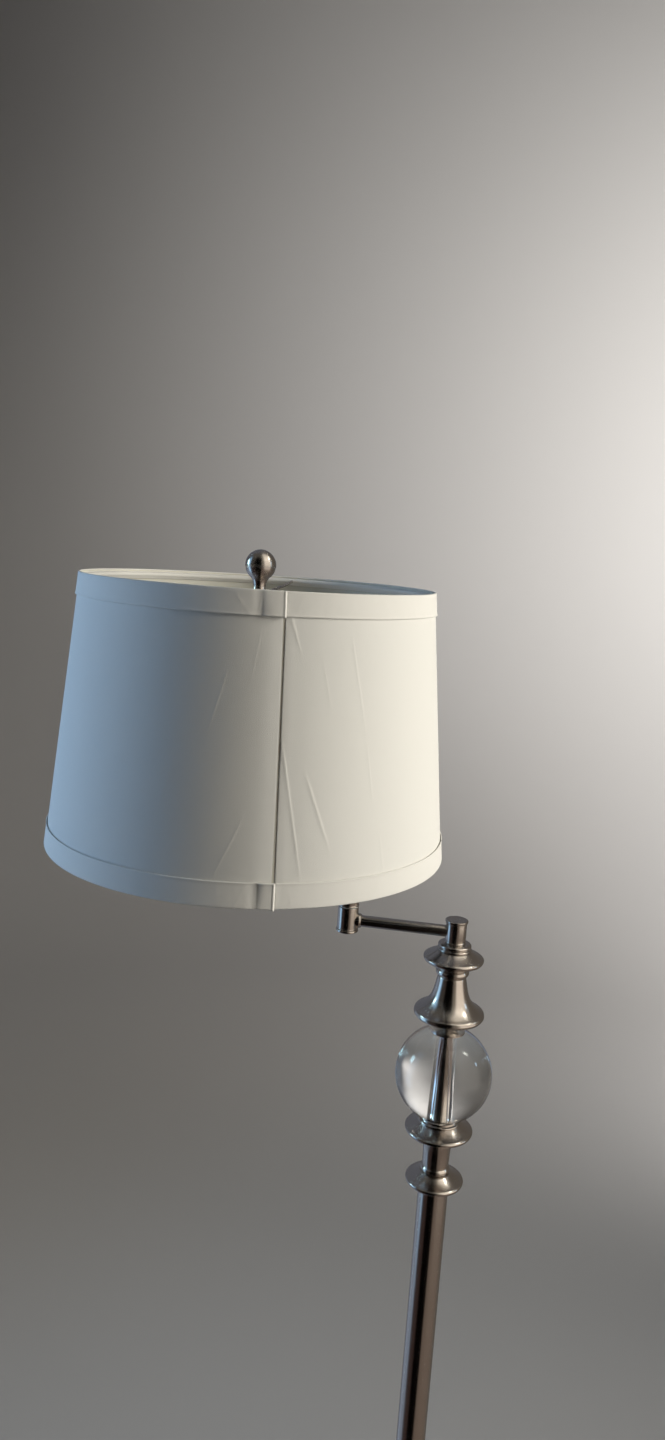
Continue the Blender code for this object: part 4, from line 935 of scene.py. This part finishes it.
def linerMesh():
    rows, sides = 24, 240
    points = []
    low, high = shadeFoot + 1.0, shadeTop - 1.0
    for layer in (1.9, 2.7):
        for j in range(rows + 1):
            h = low + (high - low) * j / rows
            r = shadeRadius(h) - layer
            for k in range(sides):
                a = 2 * math.pi * k / sides
                points.append((r * math.cos(a), r * math.sin(a), h))
    mesh = meshOf("shadeLiner", points, wallFaces(rows + 1, sides))
    return onHolder(mesh)


addPiece("shadeLiner", linerMesh(), backing, "shade", ["shade_liner"])


# one tape, folded over a rim, that starts under its own end
def tapeMesh(name, rim, inward, looks):
    draws = np.random.default_rng(looks["seed"])
    puckers = [(draws.uniform(0, 2 * math.pi), draws.uniform(0.7, 2.4), draws.uniform(-0.9, 0.9),
                draws.uniform(-0.05, 0.08)) for _ in range(looks["puckers"])]
    t, height, rimRadius = looks["thickness"], looks["height"], shadeRadius(rim)
    overlap = looks["overlap"] / rimRadius
    total = 2 * math.pi + overlap
    nearStart = np.arange(0.0, 2.2 * overlap, 0.5 / rimRadius)
    middle = np.linspace(nearStart[-1], total - 55 / rimRadius, 440)[1:]
    nearEnd = np.linspace(middle[-1], total - 3 / rimRadius, 110)[1:]
    turns = np.concatenate([nearStart, middle, nearEnd, total - np.linspace(2.8, 0, 22) / rimRadius])
    # across its width: up the outside, over the rim and down inside, round the wire where there is one
    across = [(0.0, d) for d in np.linspace(height, 1.1, 18)]
    across += [(0.9 * (1 - math.cos(a)), 0.9 - 0.9 * math.sin(a)) for a in np.linspace(0.25, math.pi / 2, 5)]
    wireInset, wireDepth, wrap = looks["wire"]
    across += [((0.9 + wireInset) / 2, wireDepth - wrap - 0.1)]
    across += [(wireInset + wrap * math.sin(a), wireDepth - wrap * math.cos(a)) for a in np.linspace(0, 2.7, 9)]
    across += [(3.1, wireDepth + wrap + 1.3), (3.0, wireDepth + wrap + 2.4)]
    grid, lengths = [], []
    for k, (inset, depth) in enumerate(across):
        row, flat = [], []
        outside = inset < 1.0
        for turn in turns:
            arc, left = turn * rimRadius, (total - turn) * rimRadius
            share = min(1.0, depth / height)
            lift = 0.15 * t
            if arc < 3 * looks["overlap"]:
                lift -= 0.4 * t / (1 + math.exp((arc - looks["overlap"]) * 2.5))
            if left < looks["looseFrom"] + 12:
                ramp = max(0.0, looks["looseFrom"] - left)
                lift += looks["loose"] * (1 - math.exp(-ramp / 4.5)) * (0.35 + 0.65 * share)
                lift -= 0.35 * math.exp(-(((left - looks["looseFrom"] - 3) / 3.5) ** 2))
                lift += 0.35 * math.exp(-(((left - 1.3) / 0.9) ** 2)) - 0.9 * math.exp(-((left / 0.5) ** 2))
            wrinkle = 0.0
            for at, length, slope, size in puckers:
                away = (turn - overlap - at + math.pi) % (2 * math.pi) - math.pi
                away = away * rimRadius - slope * (depth - height / 2)
                if abs(away) < 3 * length:
                    wrinkle += size * math.exp(-((away / length) ** 2))
            lift += wrinkle * min(1.0, depth / 4) + 0.45 * math.exp(-(((height - depth) / 1.3) ** 2))
            hang = 0.35 * math.sin(3 * turn + looks["seed"]) + 0.2 * math.sin(9 * turn + looks["seed"])
            z = rim + inward * (depth + hang * share * 0.5)
            if left < 9:
                z -= looks["droop"] * math.exp(-((left / 3.5) ** 2)) * (1 - share if inward > 0 else share)
            r = shadeRadius(z) - 0.45 * t - inset + (lift if outside else 0.0)
            angle = seamAt - overlap + turn + 0.6 / rimRadius
            row.append((r * math.cos(angle), r * math.sin(angle), z))
            flat.append((arc, k * 1.3))
        grid.append(row)
        lengths.append(flat)
    return clothMesh(name, grid, lengths)


footRingZ = (nodeLow("shade_bottom_ring").z + nodeHigh("shade_bottom_ring").z) / 2 / mm
footRingRadius = (nodeHigh("shade_bottom_ring").x - nodeLow("shade_bottom_ring").x) / 2 / mm - 1.5
topRingZ = nodeHigh("shade_spider").z / mm - 1.5
topRingRadius = topRadius - 5.6
for point in frame["nodes"]["shade_spider"].data.vertices:
    topRingRadius = max(topRingRadius, math.hypot(point.co.x - holderAxis[0], point.co.y) / mm - 1.5)
# thickness is how far a tape stands out, wire is where the rim's wire lies in it: inset, depth and wrap
tapeLooks = {"thickness": 1.0, "overlap": 11.0, "puckers": 190}
topLooks = {**tapeLooks, "height": 20.0, "looseFrom": 19.0, "loose": 1.7, "droop": 0.6, "seed": 3,
            "wire": (topRadius - topRingRadius, shadeTop - 0.4 - topRingZ, 1.95)}
footLooks = {**tapeLooks, "height": 21.0, "looseFrom": 14.5, "loose": 2.2, "droop": 1.5, "seed": 8,
             "wire": (footRadius - footRingRadius, footRingZ - shadeFoot - 0.4, 1.95)}
topTape = addPiece("topTape", tapeMesh("topTape", shadeTop - 0.4, -1, topLooks), tapeCloth, "shade",
                   ["shade_top_trim"], 60)
footTape = addPiece("footTape", tapeMesh("footTape", shadeFoot + 0.4, 1, footLooks), tapeCloth, "shade",
                    ["shade_bottom_trim"], 60)
thicken(topTape, 0.0)
thicken(footTape, 0.0)

# the wires
shadeWires = {"wire": 1.5, "arm": 1.4, "arms": 3, "firstArm": 90.0}


def ringRoute(radius, height, parts=160):
    return [(radius * math.cos(2 * math.pi * k / parts), radius * math.sin(2 * math.pi * k / parts), height)
            for k in range(parts)]


def ringMesh(radius, height):
    return wireMesh("ring", ringRoute(radius, height), shadeWires["wire"], 12, True)


footRing = onHolder(joined("footRing", [ringMesh(footRingRadius, footRingZ)]))
addPiece("footRing", footRing, holderNickel, "shade", ["shade_bottom_ring"])

spiderLow = nodeLow("shade_spider").z / mm
spiderParts = [ringMesh(topRingRadius, topRingZ)]
armLine = [(9, 1.3), (24, 1.5), (60, 2.9), (120, 5.4), (topRingRadius, topRingZ - spiderLow)]
for k in range(shadeWires["arms"]):
    turn = math.radians(shadeWires["firstArm"] + 360 * k / shadeWires["arms"])
    spoke = Vector((math.cos(turn), math.sin(turn), 0))
    route = smoothRoute([spoke * out + Vector((0, 0, spiderLow + rise)) for out, rise in armLine], 8)
    spiderParts.append(wireMesh("arm", route, shadeWires["arm"], 12))
spiderWasher = turnedLine([(3.6, 0), (11.6, 0), (12, 0.4), (12, 1.1), (11.6, 1.5), (3.6, 1.5)], 0.15)
washerMesh = turnedMesh("washer", spiderWasher, (0, 0, 0), 72)
washerMesh.transform(Matrix.Translation((0, 0, spiderLow)) @ Matrix.Scale(1 / mm, 4))
spiderParts.append(washerMesh)
shadeSpider = onHolder(joined("shadeSpider", spiderParts))
addPiece("shadeSpider", shadeSpider, holderNickel, "shade", ["shade_spider"])

for cloth in (shadeFabric, bpy.data.objects["shadeLiner"]):
    cloth.visible_glossy = False  # keeps the finial's underside dark, as the lamp's inside is
print("shade is covered")

# finial
finial = {"ball": 14.5, "neck": 8.6, "bore": 3.4, "boreDepth": 17.8}


def finialPiece():
    radius, neck, bore = finial["ball"], finial["neck"], finial["bore"]
    top = nodeTall("finial")
    centre = top - radius
    start = math.atan2(-math.sqrt(radius**2 - neck**2), neck)
    stem = turnedLine([(bore, 0), (6.8, 0), (7.2, 0.5), (7.2, 1.9, 0.2), (6.5, 2.6),
                       [(6.0, 4.0), (5.8, 6.0), (6.2, 9.0), (7.2, 12.0), (neck, centre + radius * math.sin(start))]])
    head = [(radius * math.cos(a), centre + radius * math.sin(a)) for a in np.linspace(start, math.pi / 2, 40)][1:]
    head[-1] = (0, top)
    line = [(0, finial["boreDepth"]), (bore, finial["boreDepth"]), *[tuple(p) for p in stem], *head]
    mesh = turnedMesh("finial", line, (*holderAxis, nodeLow("finial").z))
    addPiece("finialBall", mesh, holderNickel, "finial", ["finial"])


finialPiece()

# cord outlet
bushing = {"sides": 48, "steps": [(2.4, 0), (3.5, 0), (3.5, 4.6), (4.1, 4.6), (4.5, 5.0), (4.4, 5.6, 0.1),
                                  (3.8, 6.0, 0.1), (2.7, 6.0), (2.4, 5.6)]}


def bushingPiece():
    low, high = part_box("cord_bushing")
    mesh = turnedMesh("cordOutlet", turnedLine(bushing["steps"], 0.15), (0, 0, 0), bushing["sides"], "Y")
    mesh.transform(Matrix.Rotation(math.pi, 4, "Z"))
    mesh.transform(Matrix.Translation((0, low.y, (low.z + high.z) / 2)))
    addPiece("cordOutlet", mesh, blackPlastic, "stand", ["cord_bushing"])


bushingPiece()

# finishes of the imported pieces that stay
kept = {"base_weight": iron, "base_washer": zinc, "base_nut": zinc, "base_stud": zinc, "upper_pole_plug": zinc,
        "column_rod": zinc, "pivot_post": zinc, "pivot_nut": zinc, "knuckle_pin": zinc, "knuckle_nut": zinc,
        "switch_block": blackPlastic, "switch_shaft": zinc}
for node, finish in kept.items():
    for slotAt in frame["nodes"][node].material_slots:
        slotAt.material = finish
print("hidden pieces have their finishes")

# studio
studio = {"floor": 2.6, "sweep": 1.5, "wall": 10.0, "colour": (0.47, 0.46, 0.45),
          "world": (0.30, 0.30, 0.31), "worldStrength": 0.16}


def backdrop():
    steps = [(0, 0), (studio["floor"], 0)]
    for k in range(1, 13):
        a = math.radians(90 * k / 12)
        steps.append((studio["floor"] + studio["sweep"] * math.sin(a), studio["sweep"] * (1 - math.cos(a))))
    steps.append((studio["floor"] + studio["sweep"], studio["wall"]))
    points, sides = [], 96
    for r, h in steps:
        for k in range(sides):
            a = 2 * math.pi * k / sides
            points.append((max(r, 0.001) * math.cos(a), max(r, 0.001) * math.sin(a), h))
    mesh = bpy.data.meshes.new("backdrop")
    mesh.from_pydata(points, [], gridFaces(len(steps), sides, True))
    mesh.shade_smooth()
    mesh.materials.append(Paint("backdropPaint", {"Base Color": studio["colour"], "Roughness": 0.9}).material)
    piece = bpy.data.objects.new("backdrop", mesh)
    bpy.context.scene.collection.objects.link(piece)
    piece.visible_glossy = False  # the metal mirrors the room shell instead


# the room that the metal mirrors: soft patches of light by turn (from -Y towards +X) and height, in degrees;
# middle, far and near are the shells' centre height and radii in metres
room = {
    "middle": 1.1, "far": 3.4, "near": 1.09,
    "floor": [(-20, (0.045, 0.030, 0.028)), (20, (0.17, 0.132, 0.11))],
    "walls": [(-20, (0.06, 0.056, 0.052)), (20, (0.25, 0.225, 0.19))],
    "ceiling": [(-10, (0.11, 0.105, 0.095)), (40, (0.50, 0.475, 0.42))],
    "behind": [(0.13, 0.14, 0.17), (0.13, 0.115, 0.10)],
    "patches": [  # turn, half width, height, half height, soft edge, colour
        (66, 28, 18, 38, 10, (0.85, 0.77, 0.68)), (80, 40, 66, 22, 14, (0.50, 0.46, 0.40)),
        (-106, 28, -45, 42, 5, (0.17, 0.22, 0.30)), (-83, 10, 4, 34, 7, (0.42, 0.80, 1.25)),
        (-93, 5, 15, 6, 3, (6.0, 9.5, 11.0)),
        (94, 4.5, 48, 5, 3, (11.0, 11.0, 10.0)), (97, 2.5, 19, 3, 2, (4.0, 6.0, 8.0))],
    "dark": (-11, 27, 4, 0.015), "darkTop": 58}


def roomGlow(name):
    paint = Paint(name, {"Base Color": (0.0, 0.0, 0.0), "Roughness": 1.0, "Specular IOR Level": 0.0,
                         "Emission Strength": 1.0})
    way = paint.node("ShaderNodeVectorMath", {"operation": "NORMALIZE"},
                     {0: paint.vectors("SUBTRACT", paint.place(), (0.0, 0.0, room["middle"]))})
    x, y, z = (paint.apart(way, k) for k in range(3))
    turn = paint.maths("ARCTAN2", x, y * -1.0) * 57.296
    rise = paint.maths("ARCSINE", z) * 57.296

    def sides(pair):
        (leftTurn, left), (rightTurn, right) = pair
        return paint.colours(paint.ramp(turn, leftTurn - 12, rightTurn + 12), left, right)

    light = paint.colours(paint.ramp(rise, -9, 3), sides(room["floor"]), sides(room["walls"]))
    light = paint.colours(paint.ramp(rise, 28, 60), light, sides(room["ceiling"]))
    behind = paint.colours(paint.ramp(x, -0.5, 0.6), *room["behind"])
    light = paint.colours(paint.ramp(abs(turn), 100, 125), light, behind)
    darkTurn, half, soft, left = room["dark"]
    shadow = paint.ramp(abs(turn - darkTurn), half - soft, half + soft)
    shadow = paint.maths("MAXIMUM", shadow, paint.ramp(rise, room["darkTop"] - 5, room["darkTop"] + 8))
    shadow = shadow * (1 - left) + left
    light = paint.vectors("MULTIPLY", light, shadow)
    for patchTurn, halfWidth, height, halfHeight, soft, colour in room["patches"]:
        share = (paint.ramp(abs(turn - patchTurn), halfWidth + soft, halfWidth - soft)
                 * paint.ramp(abs(rise - height), halfHeight + soft, halfHeight - soft))
        light = paint.vectors("ADD", light, paint.vectors("MULTIPLY", share, colour))
    paint.feed("Emission Color", light)
    paint.material.cycles.emission_sampling = "NONE"
    return paint.material


# a shell round the lamp, seen only in its reflections
def roomShell(name, fromTurn, toTurn, radius, finish, throughGlass=False):
    turns, rises = np.linspace(fromTurn, toTurn, 49), np.linspace(-89.5, 89.5, 37)
    points = []
    for rise in np.radians(rises):
        for turn in np.radians(turns):
            points.append((radius * math.cos(rise) * math.sin(turn), -radius * math.cos(rise) * math.cos(turn),
                           room["middle"] + radius * math.sin(rise)))
    mesh = bpy.data.meshes.new(name)
    mesh.from_pydata(points, [], gridFaces(len(rises), len(turns)))
    mesh.materials.append(finish)
    piece = bpy.data.objects.new(name, mesh)
    bpy.context.scene.collection.objects.link(piece)
    piece.visible_camera = piece.visible_diffuse = piece.visible_shadow = False
    piece.visible_volume_scatter = False
    piece.visible_glossy, piece.visible_transmission = not throughGlass, throughGlass


# turn is from -Y towards +X, in degrees
lights = {
    "warmWindow": {"turn": 85, "distance": 2.0, "height": 1.95, "size": (1.0, 1.5), "power": 20.0,
                   "colour": (1.0, 0.955, 0.86), "aim": (-0.12, 0, 1.2), "spread": 100},
    "coolWindow": {"turn": -82, "distance": 2.0, "height": 1.4, "size": (0.7, 1.3), "power": 7.3,
                   "colour": (0.41, 0.66, 1.0), "aim": (-0.12, 0, 1.2), "spread": 100},
    "wallLight": {"turn": 115, "distance": 2.1, "height": 2.0, "size": (0.8, 2.4), "power": 58,
                  "colour": (1.0, 0.98, 0.95), "aim": (1.1, 4.1, 2.4), "spread": 90},
    "lowLight": {"turn": 124, "distance": 2.2, "height": 0.9, "size": (0.8, 0.8), "power": 19,
                 "colour": (1.0, 0.97, 0.94), "aim": (0.9, 2.9, 0.2), "spread": 110}}


def areaLight(name, looks):
    lamp = bpy.data.lights.new(name, "AREA")
    lamp.shape = "RECTANGLE"
    lamp.size, lamp.size_y = looks["size"]
    lamp.energy, lamp.color, lamp.spread = looks["power"], looks["colour"], math.radians(looks["spread"])
    piece = bpy.data.objects.new(name, lamp)
    bpy.context.scene.collection.objects.link(piece)
    turn, distance = math.radians(looks["turn"]), looks["distance"]
    piece.location = (distance * math.sin(turn), -distance * math.cos(turn), looks["height"])
    piece.rotation_euler = (Vector(looks["aim"]) - piece.location).to_track_quat("-Z", "Y").to_euler()
    piece.visible_camera = piece.visible_glossy = False


backdrop()
glow = roomGlow("roomGlow")
roomShell("roomFront", -100, 100, room["far"], glow)
roomShell("roomBehind", 100, 260, room["far"], glow)
roomShell("roomThroughGlass", -100, 100, room["near"], glow, True)
for name, looks in lights.items():
    areaLight(name, looks)

world = bpy.data.worlds.new("world")
world.use_nodes = True
world.node_tree.nodes["Background"].inputs["Color"].default_value = (*studio["world"], 1)
world.node_tree.nodes["Background"].inputs["Strength"].default_value = studio["worldStrength"]
bpy.context.scene.world = world
bpy.context.scene.view_settings.view_transform = "Standard"
print("studio is lit")
